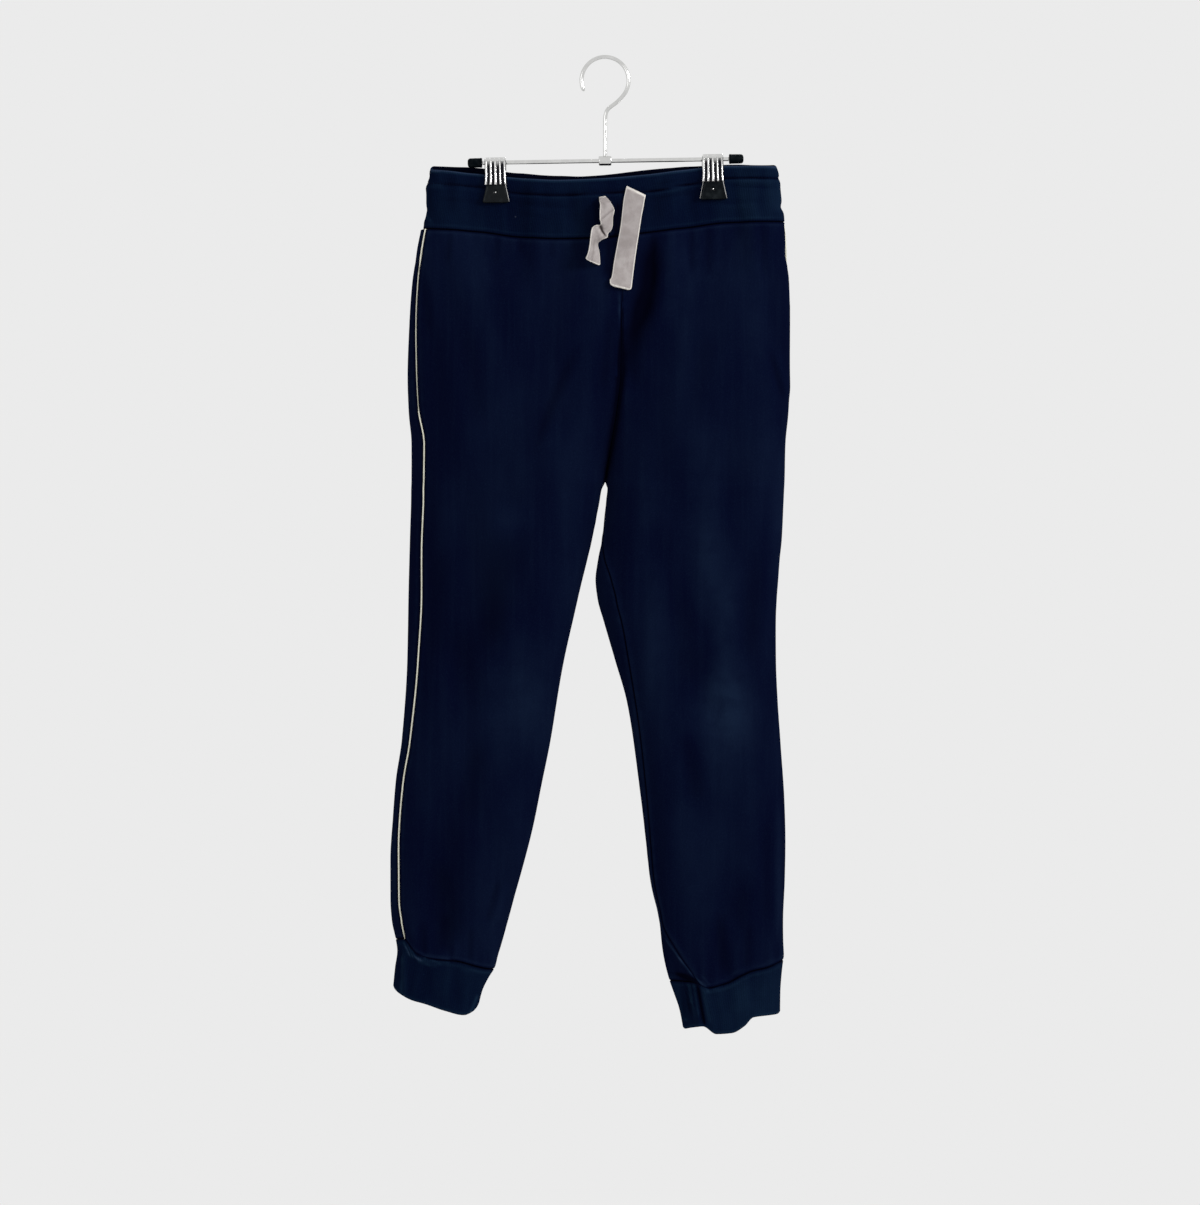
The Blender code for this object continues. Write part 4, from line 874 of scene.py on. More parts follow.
class Ring:
    """Level rings of one leg. turn runs from 0 at the inner edge's front over the front to
    pi at the outer edge and over the back to 2 pi."""

    def __init__(self, side_name):
        rows = [LegRow(hip.drop, getattr(hip, side_name + "_edge"), hip.centre,
                       getattr(hip, side_name + "_outseam"), 0.0, 0.0) for hip in HIPS]
        rows.extend(LEGS[side_name])
        self.is_left = side_name == "left"
        self.at = tables(rows, "drop", LegRow._fields[1:])
        self.line = tables(CUFF_LINES[side_name], "across", ("seam", "hem"))
        self.edge = tables(CUFF_EDGES[side_name], "down", ("outer", "inner"))
        self.top = rows[0].drop
        self.low = rows[-1].drop

    def edges(self, level):
        """X of the outer and the inner edge."""
        inner = centre_at(level) if level <= CROTCH_DROP else self.at["inner"](level)
        return float(self.at["outer"](level)), float(inner)

    def points(self, turns, level, edges=None):
        """Points of the ring at these turns, as (x, y), and their across."""
        outer, inner = edges or self.edges(level)
        middle = 0.5 * (outer + inner)
        half = 0.5 * (inner - outer)
        across = np.cos(turns)
        x = middle + half * across
        front = half_depth("front", across, abs(half), level, x)
        back = half_depth("back", across, abs(half), level, x)
        if self.is_left:
            front = front - np.minimum(left_step(x, level), STEP_LIMIT * front)
        y = self.at["plane"](level) + np.where(np.sin(turns) >= 0.0, -front, back)
        return np.stack([x, y], axis=1), across

    def wall(self, turns, level, edges=None):
        """Points of the cloth's outer face, its outward normals and across."""
        points, across = self.points(turns, level, edges)
        ahead = self.points(turns + TURN_STEP, level, edges)[0]
        behind = self.points(turns - TURN_STEP, level, edges)[0]
        tangent = unit(ahead - behind)
        side = 1.0 if self.is_left else -1.0
        return points, side * np.stack([tangent[:, 1], -tangent[:, 0]], axis=1), across

    def drop_at(self, level, x, across):
        """The true drop of a point, with the waist's and the cuff's seam lines."""
        waist = waist_at["seam"](x) + 0.5 * SEAM_GAP - self.top
        cuff = self.line["seam"](0.5 + 0.5 * across) - 0.5 * SEAM_GAP - self.low
        near_waist = 1.0 - ease(self.top, self.top + TOP_FADE, level)
        near_cuff = ease(self.low - CUFF_FADE, self.low, level)
        return level + waist * near_waist + cuff * near_cuff

    def seams(self, level):
        """The turns of the inseam and the outseam."""
        outer, inner = self.edges(level)
        half = 0.5 * abs(inner - outer)
        out = float(self.at["outseam"](level))
        inside = float(self.at["inseam"](level)) if level > CROTCH_DROP else 0.0
        out_turn = math.pi - math.copysign(math.acos(1.0 - abs(out) / half), out)
        in_turn = math.copysign(math.acos(1.0 - abs(inside) / half), inside)
        return in_turn, out_turn


def walk(points):
    """Arc lengths and tangents along a line of points."""
    steps = np.linalg.norm(np.diff(points, axis=0), axis=1)
    return np.concatenate([[0.0], np.cumsum(steps)]), unit(np.gradient(points, axis=0))


def spread(lengths, tangent, start, end, count):
    """Arc lengths from start to end, closer together where the line bends."""
    bend = np.linalg.norm(np.gradient(tangent, axis=0), axis=1)
    running = np.cumsum(np.diff(lengths, prepend=0.0) + BEND_WEIGHT * bend)
    ends = np.interp([start, end], lengths, running)
    return np.interp(np.linspace(ends[0], ends[1], count + 1), running, lengths)


def rolled(distances, radius):
    """How far a rounded edge falls away at these distances from the edges that meet there."""
    reach = sum(np.clip(radius - distance, 0.0, radius) ** 2 for distance in distances)
    return radius - np.sqrt(np.clip(radius ** 2 - reach, 0.0, None))


def between(start, steps, inside, end):
    """Places from start to end, with these close steps beside both."""
    steps = np.array(steps)
    return np.concatenate([start + steps, inside, (end - steps)[::-1]])


def fine_shares(height, count):
    """Even shares of a height, with close ones beside both edges."""
    inside = np.linspace(EDGE_STEPS[-1], height - EDGE_STEPS[-1], count + 1)
    return between(0.0, EDGE_STEPS[:-1], inside, height) / height


def quads(spots, flip=False):
    """Faces of a grid of numbered points."""
    corners = (spots[:-1, :-1], spots[1:, :-1], spots[1:, 1:], spots[:-1, 1:])
    faces = np.stack(corners, axis=-1).reshape(-1, 4)
    return faces[:, ::-1] if flip else faces


def enclosed(points, faces):
    """Volume inside the faces, negative if they face inwards."""
    a, b, c, d = (points[faces[:, k]] for k in range(4))
    return float(np.sum(a * np.cross(b, c)) + np.sum(a * np.cross(c, d))) / 6.0


def joined(grid):
    """A grid with its first column once more at its end."""
    return np.concatenate([grid, grid[:, :1]], axis=1)


def shell(name, outer, inner, u, v, worn_and_lit, inner_face_shade=INSIDE_SHADE, closed=False):
    """A smooth closed wall between two grids of points, with u and v in metres on it and its wear
    with painted highlight and painted shade. Where closed, u has one more column, for the place
    where the ring joins up."""
    rows, columns = outer.shape[:2]
    numbers = np.arange(rows * columns).reshape(rows, columns)
    if closed:
        numbers, v = joined(numbers), joined(v)
    numbers = np.concatenate([numbers.ravel(), numbers.ravel() + rows * columns])
    near, far = np.arange(2 * v.size).reshape(2, *v.shape)
    parts = [quads(near), quads(far, True)]
    for row, flip in ((0, False), (-1, True)):
        parts.append(quads(np.stack([near[row], far[row]], axis=1), flip))
    if not closed:
        for side, flip in ((0, True), (-1, False)):
            parts.append(quads(np.stack([near[:, side], far[:, side]], axis=1), flip))
    places = np.concatenate(parts)
    points = np.concatenate([outer.reshape(-1, 3), inner.reshape(-1, 3)])
    if enclosed(points, numbers[places]) < 0.0:
        places = places[:, ::-1]
    mesh = bpy.data.meshes.new(name)
    mesh.from_pydata(points.tolist(), [], numbers[places].tolist())
    uv = np.stack([u.ravel(), v.ravel()], axis=1)[places.ravel() % v.size]
    mesh.uv_layers.new(name="cloth").data.foreach_set("uv", uv.ravel().astype(np.float32))
    # The outer points hold wear with painted highlight and painted shade; the inner face holds painted
    # shade.
    set_values(mesh, "wear_and_light", np.concatenate([worn_and_lit.ravel(), inner_face_shade + 0.0 * worn_and_lit.ravel()]))
    mesh.shade_smooth()
    return place(name, mesh)


def set_values(mesh, name, values):
    """One number for each point of a mesh, for its material."""
    layer = mesh.attributes.new(name, "FLOAT", "POINT")
    layer.data.foreach_set("value", np.asarray(values, dtype=np.float32))


def place(name, data):
    """A new object of the scene that shows this mesh, lamp or camera."""
    thing = bpy.data.objects.new(name, data)
    bpy.context.scene.collection.objects.link(thing)
    return thing


def hang(points):
    """Points given by X, Y and drop below the waist line, moved to the shared frame."""
    return points * np.array([1.0, 1.0, -1.0]) + WAIST_Z * Z_AXIS


def cloth(points, drops):
    """Points of a face of cloth in the shared frame, from their X, Y and drops."""
    return hang(np.dstack([points, drops]))


def bead_half(ring, level):
    """Half the piping's width: drawn in at both ends of the pocket's mouth, thin between,
    and tucked into the cuff's seam at its low end."""
    in_mouth = float(ease(MOUTH_TOP - MOUTH_BLEND, MOUTH_TOP, level))
    in_mouth *= 1.0 - float(ease(*MOUTH_CLOSING, level))
    half = BEAD_HALF + (MOUTH_BEAD_HALF - BEAD_HALF) * in_mouth
    low_mouth = float(ease(MOUTH_END - MOUTH_BEAD_FADE, MOUTH_END, level))
    half *= 1.0 - MOUTH_THINNING * in_mouth * low_mouth
    tacks = float(sum(bell(level - tack, TACK_HALF) for tack in BAR_TACKS))
    tucked = float(ease(ring.low - BEAD_TUCK, ring.low - TUCK_END, level))
    return half * (1.0 - TACK_SQUEEZE * min(tacks, 1.0)) * (1.0 - TUCK_SQUEEZE * tucked)


def panel_levels(ring):
    """Levels of a panel's rows, with close ones beside the waistband and the cuff."""
    rise = np.linspace(ring.top, CROTCH_DROP, RISE_ROWS + 1)
    leg = np.linspace(CROTCH_DROP, ring.low, LEG_ROWS + 1)
    return between(ring.top, EDGE_STEPS, np.concatenate([rise[1:], leg[1:-1]]), ring.low)


def panel_line(ring, level, face):
    """Outer points, outward normals, arc lengths, width and drops of a panel at one level."""
    in_turn, out_turn = ring.seams(level)
    from_turn = in_turn if face == "front" else in_turn + FULL_TURN
    turns = np.linspace(from_turn, out_turn, DENSE)
    lengths, tangent = walk(ring.points(turns, level)[0])
    start = 0.0 if level < CROTCH_DROP else 0.5 * SEAM_GAP
    end = lengths[-1] - bead_half(ring, level) - SEAM_GAP
    step = EDGE_STEPS[-1]
    inside = spread(lengths, tangent, start + step, end - step, PANEL_COLUMNS)
    spots = between(start, EDGE_STEPS[:-1], inside, end)
    outer, normal, across = ring.wall(np.interp(spots, lengths, turns), level)
    drops = ring.drop_at(level, outer[:, 0], across)
    return outer, normal, spots - start, end - start, drops


def make_panel(name, ring, face):
    """One front or back, a thin shell with its creases, slack and rolled seam edges."""
    lines = [panel_line(ring, level, face) for level in panel_levels(ring)]
    outer, normal, u, width, drops = (np.array(column) for column in zip(*lines))
    x, beyond = outer[:, :, 0], width[:, None] - u
    down, left = drops - drops[:1], drops[-1:] - drops
    seed = PANEL_SEEDS[name]
    relief = slack(seed, x, drops, *BROAD_SLACK) + slack(seed + FINE_SEED, x, drops, *FINE_SLACK)
    relief = relief * ease(0.0, TOP_SLACK_FADE, down) * ease(0.0, LOW_SLACK_FADE, left)
    relief = relief + crease_relief(face, x, drops) * clear(down, left, SEAM_FADE)
    relief = relief * clear(u, beyond, CREASE_FADE)
    relief = relief + seam_pucker(seed, u, beyond, drops) + gathers(seed, x, down, left)
    in_rise = drops < CROTCH_DROP + 0.001
    deep = ease(RISE_DEEP_START, RISE_DEEP_END, drops) * in_rise
    relief = relief - RISE_SINK * deep * bell(u, RISE_SINK_WIDTH)
    soft = np.minimum(streak_amounts("soft", x, drops), SOFTEST)
    fall = rolled((u, beyond, down, left), EDGE_ROLL) * (1.0 - soft)
    at_centre = ((1.0 - ease(*CENTRE_BLEND, u)) * in_rise)[:, :, None]
    straight = np.array([0.0, -1.0 if face == "front" else 1.0])
    push = normal * (1.0 - at_centre) + straight * at_centre
    inner = outer - CLOTH_WALL * normal + relief[:, :, None] * push
    outer = outer + (relief - fall)[:, :, None] * push
    folds = [fold_depth(face, row_x, row) for row_x, row in zip(x, drops)]
    # Patches, ridges rubbed paler and partly painted highlight, and painted shade in troughs, folds and
    # the centre seam.
    worn_and_lit = patch_tone(face, x, drops) + relief_wear_and_shade(relief) - FOLD_SHADE * np.array(folds)
    worn_and_lit = worn_and_lit - RISE_SHADE * deep * bell(u, RISE_SHADE_WIDTH)
    # Painted shade along the seams, with pale lines beside them, partly painted highlight.
    worn_and_lit = worn_and_lit + soft_lines(u, SEAM_SHADE_AND_HIGHLIGHT) + soft_lines(beyond, OUTSEAM_SHADE_AND_HIGHLIGHT)
    worn_and_lit = worn_and_lit + soft_lines(down, WIDE_SEAM_SHADE_AND_HIGHLIGHT) + soft_lines(left, WIDE_SEAM_SHADE_AND_HIGHLIGHT)
    # Streaks of painted highlight and painted shade go on the fronts, and on the left back only where X
    # falls along its row.
    shows = np.gradient(x, axis=1) < 0.0 if name == "back_left" else face == "front"
    worn_and_lit = worn_and_lit + streak_amounts(face, x, drops) * shows
    return shell(name + "_cloth", cloth(outer, drops), cloth(inner, drops), u, drops, worn_and_lit)


def band_section(down):
    """X and Y of the waistband's ring at this share of its height, from its left edge over
    the front."""
    left, right = band_edge_at["inner"](down), band_edge_at["outer"](down)
    middle, half = 0.5 * float(left + right), 0.5 * float(left - right)
    turns = np.linspace(0.0, FULL_TURN, 4 * DENSE)
    across = np.cos(turns)
    x = middle + half * across
    front, back = (half_depth(face, -np.abs(across), half, BAND_LEVELS * down, x)
                   for face in ("front", "back"))
    return np.stack([x, np.where(np.sin(turns) >= 0.0, -front, back)], axis=1)


def ring_normals(line):
    """Outward unit normals round a closed line of points."""
    tangent = unit(np.roll(line, -1, axis=0) - np.roll(line, 1, axis=0))
    normal = np.stack([-tangent[:, 1], tangent[:, 0]], axis=1)
    return normal if np.sum((line - line.mean(axis=0)) * normal) > 0.0 else -normal


def band_grid():
    """Points, normals, arc lengths and drops of the waistband's outer face."""
    lines = []
    for down in fine_shares(BAND_HEIGHT, BAND_ROWS):
        line = band_section(down)
        lengths, tangent = walk(line)
        spots = spread(lengths, tangent, 0.0, lengths[-1], BAND_COLUMNS)
        points = np.stack([np.interp(spots[:-1], lengths, side) for side in line.T], axis=1)
        normal = ring_normals(points)
        x = points[:, 0]
        behind = ease(-SIDE_BLEND, SIDE_BLEND, points[:, 1])
        back_top = waist_at["back_top"](x) - back_rise_at(x)
        top = waist_at["front_top"](x) * (1.0 - behind) + back_top * behind
        low = waist_at["seam"](x) - 0.5 * SEAM_GAP
        drops = top + (low - top) * down
        points[:, 0] += sum(pull.pull * bell(drops - pull.drop, pull.half)
                            * (1.0 - ease(*PULL_FADE, np.abs(x - pull.x)))
                            for pull in BAND_PULLS)
        lines.append((points, normal, spots, drops))
    return [np.array(column) for column in zip(*lines)]


def front_and_back(function, piece, x, drops, on_back):
    """What the function gives for the front and the back of a ring of cloth."""
    front = function(piece + "_front", x, drops) * (1.0 - on_back)
    return front + function(piece + "_back", x, drops) * on_back


def make_band():
    """The rib waistband with its folded top edge, tunnel stitching line and soft dents."""
    outer, normal, spots, drops = band_grid()
    x, u = outer[:, :, 0], spots[:, :-1]
    down, left = drops - drops[:1], drops[-1:] - drops
    on_back = ease(-BACK_BLEND, BACK_BLEND, outer[:, :, 1])
    relief = front_and_back(crease_relief, "band", x, drops, on_back)
    relief = relief + slack(BAND_SEEDS[0], u, down, *BAND_RIPPLES)
    fine = slack(BAND_SEEDS[1], u, left, *FINE_RIPPLES)
    relief = relief + fine * (0.4 + 0.6 * ease(0.0, RIPPLE_FADE, down))
    relief = relief * ease(0.0, BAND_TOP_FADE, down) * ease(0.0, BAND_LOW_FADE, left)
    below = drops - stitch_at(x)
    tunnel = TUNNEL_SWELL * ease(0.0, BAND_TOP_FADE, down) * ease(0.0, TUNNEL_FADE, -below)
    tunnel = tunnel + soft_lines(below, (LOWER_SWELL,))
    relief = relief + tunnel
    top_fall = rolled((down,), BAND_ROLL)
    lift = relief - STITCH_GROOVE * bell(below, GROOVE_HALF) - top_fall
    lift = lift - rolled((left,), EDGE_ROLL)
    inner = outer + (relief - BAND_WALL + top_fall)[:, :, None] * normal
    outer = outer + lift[:, :, None] * normal
    # A painted highlight along the top edge, painted shade at the seam and in the stitch groove with pale
    # lines beside them, ridges paler and troughs painted darker; the front also gets its patches and its
    # streaks of painted highlight and painted shade.
    worn_and_lit = soft_lines(down, TOP_EDGE_HIGHLIGHT) + soft_lines(left, WIDE_SEAM_SHADE_AND_HIGHLIGHT)
    worn_and_lit = worn_and_lit + relief_wear_and_shade(relief - TUNNEL_CLEAN * tunnel) + soft_lines(below, STITCH_SHADE_AND_HIGHLIGHT)
    drawn = patch_tone("band_front", x, drops) + streak_amounts("band_front", x, drops)
    worn_and_lit = worn_and_lit + drawn * (1.0 - on_back) + BAND_TONE
    allowance = drops + SEAM_ALLOWANCE * (1.0 - ease(0.0, ALLOWANCE_FADE, left))
    return shell("waistband_rib", cloth(outer, drops), cloth(inner, allowance), spots, drops,
                 worn_and_lit, closed=True)


def make_stitches():
    """Thread of the tunnel's stitch line, one short raised stitch after another."""
    outer, normal, _, drops = band_grid()
    row = int(np.argmin(np.abs(np.linspace(0.0, 1.0, len(drops)) - STITCH_HEIGHT)))
    line = stitch_at(outer[row, :, 0])
    spine = [[np.interp(drop, drops[:, c], outer[:, c, 0]),
              np.interp(drop, drops[:, c], outer[:, c, 1]), drop] for c, drop in enumerate(line)]
    outward = [[*across, 0.0] for across in normal[row]]
    spine, outward = np.array(spine + spine[:1]), np.array(outward + outward[:1])
    lengths = walk(spine)[0]
    starts = np.arange(0.0, lengths[-1] - STITCH_LENGTH, STITCH_PITCH)
    rings = [hang(stitch_rings(start, lengths, spine, outward)) for start in starts]
    return tubes("waistband_tunnel_stitching", rings)


def stitch_rings(start, lengths, spine, outward):
    """Rings of one stitch, which dives into the cloth at both ends."""
    rings = []
    for share, size, sink in STITCH_FORM:
        spot = start + share * STITCH_LENGTH
        point, out = (np.array([np.interp(spot, lengths, values) for values in line.T])
                      for line in (spine, outward))
        out = unit(out)
        thick = size * THREAD_RADIUS
        rings.append(hoop(point - sink * out, thick * out, thick * Z_AXIS, STITCH_SIDES))
    return np.array(rings)


def tubes(name, all_rings, values=None):
    """One mesh of closed tubes, each through its own rings of points. values gives each
    point's depth in a groove, from 0 to 1: on chrome it paints shade there, on rubber it lowers
    the gloss."""
    points, faces = [], []
    for rings in all_rings:
        count, sides = rings.shape[:2]
        base = len(points)
        points.extend(rings.reshape(-1, 3).tolist())
        numbers = base + joined(np.arange(count * sides).reshape(count, sides))
        low, high = numbers[:-1], numbers[1:]
        corners = (low[:, :-1], low[:, 1:], high[:, 1:], high[:, :-1])
        faces.extend(np.stack(corners, axis=-1).reshape(-1, 4).tolist())
        faces.append(numbers[0, :-1].tolist()[::-1])
        faces.append(numbers[-1, :-1].tolist())
    mesh = bpy.data.meshes.new(name)
    mesh.from_pydata(points, [], faces)
    tidy = bmesh.new()
    tidy.from_mesh(mesh)
    bmesh.ops.recalc_face_normals(tidy, faces=tidy.faces)
    tidy.to_mesh(mesh)
    tidy.free()
    if values is not None:
        set_values(mesh, "groove", values)
    mesh.shade_smooth()
    return place(name, mesh)


def make_cuff(name, ring):
    """A rib cuff, a ring with pleats and dents, a rolled seam edge and a folded hem."""
    in_turn, _ = ring.seams(ring.low)
    dense = np.linspace(in_turn, in_turn + FULL_TURN, 4 * DENSE)
    lengths, tangent = walk(ring.points(dense, ring.low)[0])
    spots = spread(lengths, tangent, 0.0, lengths[-1], CUFF_COLUMNS)
    turns = np.interp(spots[:-1], lengths, dense)
    lines = []
    for down in fine_shares(CUFF_HEIGHT, CUFF_ROWS):
        edges = [float(ring.edge[end](down)) for end in ("outer", "inner")]
        points, normal, across = ring.wall(turns, ring.low + CUFF_HEIGHT * down, edges)
        seam, hem = (ring.line[end](0.5 + 0.5 * across) for end in ("seam", "hem"))
        seam, hem = seam + 0.5 * SEAM_GAP, hem - HEM_ROUNDING * np.abs(across) ** HEM_SQUARENESS
        lines.append((points, normal, seam + (hem - seam) * down))
    outer, normal, drops = (np.array(column) for column in zip(*lines))
    x = outer[:, :, 0]
    down, left = drops - drops[:1], drops[-1:] - drops
    u = np.tile(spots, (len(drops), 1))
    on_back = ease(-BACK_BLEND, BACK_BLEND, outer[:, :, 1] - float(ring.at["plane"](ring.low)))
    relief = front_and_back(crease_relief, "cuff", x, drops, on_back)
    relief = relief + slack(CUFF_SEEDS[name], u[:, :-1], down, *CUFF_RIPPLES)
    relief = relief * ease(0.0, SEAM_FADE, down) * ease(0.0, HEM_FADE, left)
    soft = np.minimum(streak_amounts("soft", x, drops), SOFTEST) * (1.0 - on_back)
    hem_fall = rolled((left,), HEM_ROLL)
    lift = relief - rolled((down,), EDGE_ROLL) * (1.0 - soft) - hem_fall
    inner = outer + (relief - CUFF_WALL + hem_fall)[:, :, None] * normal
    outer = outer + lift[:, :, None] * normal
    x = outer[:, :, 0]
    # Painted shade at the seam, a pale line by the hem that is partly painted highlight, ridges paler and
    # troughs painted darker; the front also gets its patches and its streaks of painted highlight and
    # painted shade.
    worn_and_lit = soft_lines(down, WIDE_SEAM_SHADE_AND_HIGHLIGHT) + relief_wear_and_shade(relief) + soft_lines(left, HEM_WEAR_AND_HIGHLIGHT)
    drawn = patch_tone("cuff_front", x, drops) + streak_amounts("cuff_front", x, drops)
    worn_and_lit = worn_and_lit + drawn * (1.0 - on_back) + CUFF_TONE
    allowance = drops - SEAM_ALLOWANCE * (1.0 - ease(0.0, ALLOWANCE_FADE, down))
    return shell(name + "_rib", cloth(outer, drops), cloth(inner, allowance), u, drops, worn_and_lit,
                 closed=True)


def make_piping(name, ring):
    """The cream bead in one outseam, thinner along the pocket's mouth."""
    angles = np.linspace(0.0, math.pi, BEAD_POINTS)
    levels = np.linspace(ring.top, ring.low, PIPING_ROWS + 1)
    grid = []
    for level in levels:
        half = bead_half(ring, level)
        turns = turns_beside(ring, level, ring.seams(level)[1], -half * np.cos(angles))
        outer, outward, across = ring.wall(turns, level)
        thin = float(ease(MOUTH_BEAD_HALF, BEAD_HALF, half))
        proud = MOUTH_PIPING_PROUD + (PIPING_PROUD - MOUTH_PIPING_PROUD) * thin
        rise = (proud + BEAD_SINK) * np.sin(angles) ** BEAD_ROUNDNESS - BEAD_SINK
        drops = ring.drop_at(level, outer[:, 0], across)
        root = outer[[-1, 0]] - BEAD_ROOT * outward[[-1, 0]]
        points = np.concatenate([outer + rise[:, None] * outward, root])
        grid.append(np.column_stack([points, np.append(drops, drops[[-1, 0]])]))
    made = tubes(name + "_bead", [hang(np.array(grid))])
    girth = np.linspace(0.0, BEAD_GIRTH, len(grid[0]))
    layer = made.data.uv_layers.new(name="cloth")
    for loop in made.data.loops:
        row, spot = divmod(loop.vertex_index, len(girth))
        layer.data[loop.index].uv = (girth[spot], levels[row])
    return made


def turns_beside(ring, level, turn, reaches):
    """The turns that lie these short ways along the ring from one turn."""
    turns = np.linspace(turn - SEARCH_TURN, turn + SEARCH_TURN, DENSE + 1)
    lengths, _ = walk(ring.points(turns, level)[0])
    return np.interp(lengths[DENSE // 2] + reaches, lengths, turns)


def front_y(x, drop):
    """Y of the cloth's front face at one spot of the waistband or the hips."""
    if drop < waist_at["seam"](x):
        half, drop = BAND_HALF_WIDTH, min(drop, BAND_LEVELS)
        across = -abs(x) / half
    else:
        inner = float(centre_at(drop))
        outer = float(hip_edge_at["right_edge" if x < inner else "left_edge"](drop))
        across = (x - 0.5 * (outer + inner)) / (0.5 * (inner - outer))
        half = 0.5 * abs(inner - outer)
    return -float(half_depth("front", np.array(across), half, drop, np.array(x)))


def tape_edges(rows, along, across):
    """X, drop and stand-off of a drawcord end between its two edges."""
    edges = tables(rows, "along", TapeRow._fields[1:])
    for name in ("x", "drop", "out"):
        left, right = (edges[side + name](along)[:, None] for side in ("left_", "right_"))
        yield left * (1.0 - across) + right * across


def cloth_below(x, drop):
    """Y of the cloth's foremost spot under each row of a drawcord end, evened out."""
    near = np.array([min(front_y(*spot) for spot in zip(row_x[::4], row_drop[::4]))
                     for row_x, row_drop in zip(x, drop)])
    return np.array([near[max(0, i - 5):i + 6].mean() for i in range(len(near))])[:, None]


def make_tape(name, rows, dents):
    """A drawcord end, a thin woven ribbon between its two edges, with rounded selvedges."""
    along = np.linspace(0.0, 1.0, TAPE_ROWS + 1)
    inside = np.linspace(0.06, 0.94, TAPE_COLUMNS - 7)
    across = np.concatenate([TAPE_LEFT_STEPS, inside, TAPE_RIGHT_STEPS])[None, :]
    edge = np.array([(row.left_x, row.left_drop) for row in rows])
    length = float(np.linalg.norm(np.diff(edge, axis=0), axis=1).sum())
    turn = np.clip(1.0 - length * (1.0 - along) / TAPE_CORNER, 0.0, 1.0)
    drawn_in = (TAPE_CORNER * (1.0 - np.sqrt(1.0 - turn ** 2)) / TAPE_WIDTH)[:, None]
    x, drop, out = tape_edges(rows, along, drawn_in + (1.0 - 2.0 * drawn_in) * across)
    dent = dents(along[:, None], across)
    y = cloth_below(x, drop) - out - TAPE_CROWN * np.sin(math.pi * across) - dent
    outer = np.dstack([x, y, drop])
    normal = unit(np.cross(np.gradient(outer, axis=1), np.gradient(outer, axis=0)))
    if normal[:, :, 1].mean() > 0.0:
        normal = -normal
    width = np.linalg.norm(outer[:, -1] - outer[:, 0], axis=1)[:, None]
    u = across * width
    edge = rolled((u, width - u), TAPE_ROLL)[:, :, None]
    inner = outer - (TAPE_SHELL - edge) * normal
    outer = outer - edge * normal
    v = np.tile(along[:, None] * length, across.shape)
    from_edge = np.minimum(u, width - u) * TAPE_WIDTH / width
    from_edge = np.minimum(from_edge, np.minimum(v, length - v))
    # The edges are paler, partly a painted highlight that is brighter on the right edge; elsewhere the
    # dents get painted shade.
    rim = 1.0 - ease(RIM_START, RIM_END, from_edge)
    rim = rim * np.where(u > 0.5 * width, *RIM_TONES)
    worn_and_lit = np.where(rim > 0.4, rim, np.clip(SHADE_BY_DENT * dent, -1.0, 0.0))
    u = np.tile(across, (len(along), 1))
    return shell(name, hang(outer), hang(inner), u, v, worn_and_lit, 0.0)


def flat_dents(along, across):
    """The flat end's one soft bend and the turned corner at its low end."""
    bend = 0.0004 * np.sin(FULL_TURN * (1.3 * along + 0.2 * across))
    corner = 0.0012 * ease(0.86, 1.0, along) * (1.0 - ease(0.0, 0.45, across))
    return bend + corner


def twisted_dents(along, across):
    """The twisted end's crease and the sharp fold where it turns over."""
    from_crease = along - 0.36 + 0.13 * across
    from_fold = along - 0.47 - 0.13 * across
    crease = 0.0012 * bell(from_crease - 0.07, 0.05) - 0.0011 * bell(from_crease, 0.020)
    fold = 0.0030 * (1.0 - ease(0.70, 1.0, across)) * bell(from_fold, 0.016)
    lip = 0.0018 * bell(from_fold - 0.05, 0.035)
    pleat = 0.0006 * bell(across - 0.62 + 0.25 * along, 0.07) * ease(0.55, 0.70, along)
    hollow = 0.0007 * bell(across - 0.25, 0.30) * bell(along - 0.14, 0.12)
    return crease - fold + lip - pleat - hollow


def set_on_bar(rings, along=0.0):
    """Rings made about the bar's own middle, set in place along the tilted bar."""
    on_bar = Matrix.Rotation(-BAR_TILT, 4, "Y") @ Matrix.Translation((along, 0.0, 0.0))
    move = np.array(Matrix.Translation((0.0, 0.0, BAR_CENTRE_Z)) @ on_bar)
    return np.array(rings) @ move[:3, :3].T + move[:3, 3]


def round_profile(profile, sides):
    """Rings about the X axis, from rows of X and radius."""
    return [hoop(x * X_AXIS, radius * Y_AXIS, radius * Z_AXIS, sides) for x, radius in profile]


def domed(start, end, radius, rounding, steps=6):
    """Rows of X and radius of a rod with rounded ends."""
    turns = [0.5 * math.pi * k / steps for k in range(steps, -1, -1)]
    rows = [(start + rounding * (1.0 - math.sin(t)), radius - rounding * (1.0 - math.cos(t)))
            for t in turns]
    return rows + [(start + end - x, r) for x, r in reversed(rows)]


def hook_path():
    """The wire's middle line: up the neck, over to the right and round the hook."""
    radius = HOOK_INSIDE + WIRE_RADIUS
    foot, neck = BAR_CENTRE_Z * Z_AXIS, NECK_Z * Z_AXIS
    angles = np.linspace(HOOK_START, HOOK_END, 64)[:, None]
    hook = radius * (np.cos(angles) * X_AXIS + np.sin(angles) * Z_AXIS) - HOOK_INSIDE * Z_AXIS
    join = hook[0]
    into = math.cos(HOOK_START) * Z_AXIS - math.sin(HOOK_START) * X_AXIS
    pull = 0.6 * np.linalg.norm(join - neck)
    first, second = neck + pull * Z_AXIS, join - pull * into
    t = np.linspace(0.0, 1.0, 20, endpoint=False)[:, None]
    bend = neck * (1 - t) ** 3 + 3 * first * t * (1 - t) ** 2
    bend = bend + 3 * second * t * t * (1 - t) + join * t ** 3
    stem = foot + (neck - foot) * np.arange(6)[:, None] / 6.0
    return np.concatenate([stem, bend, hook])


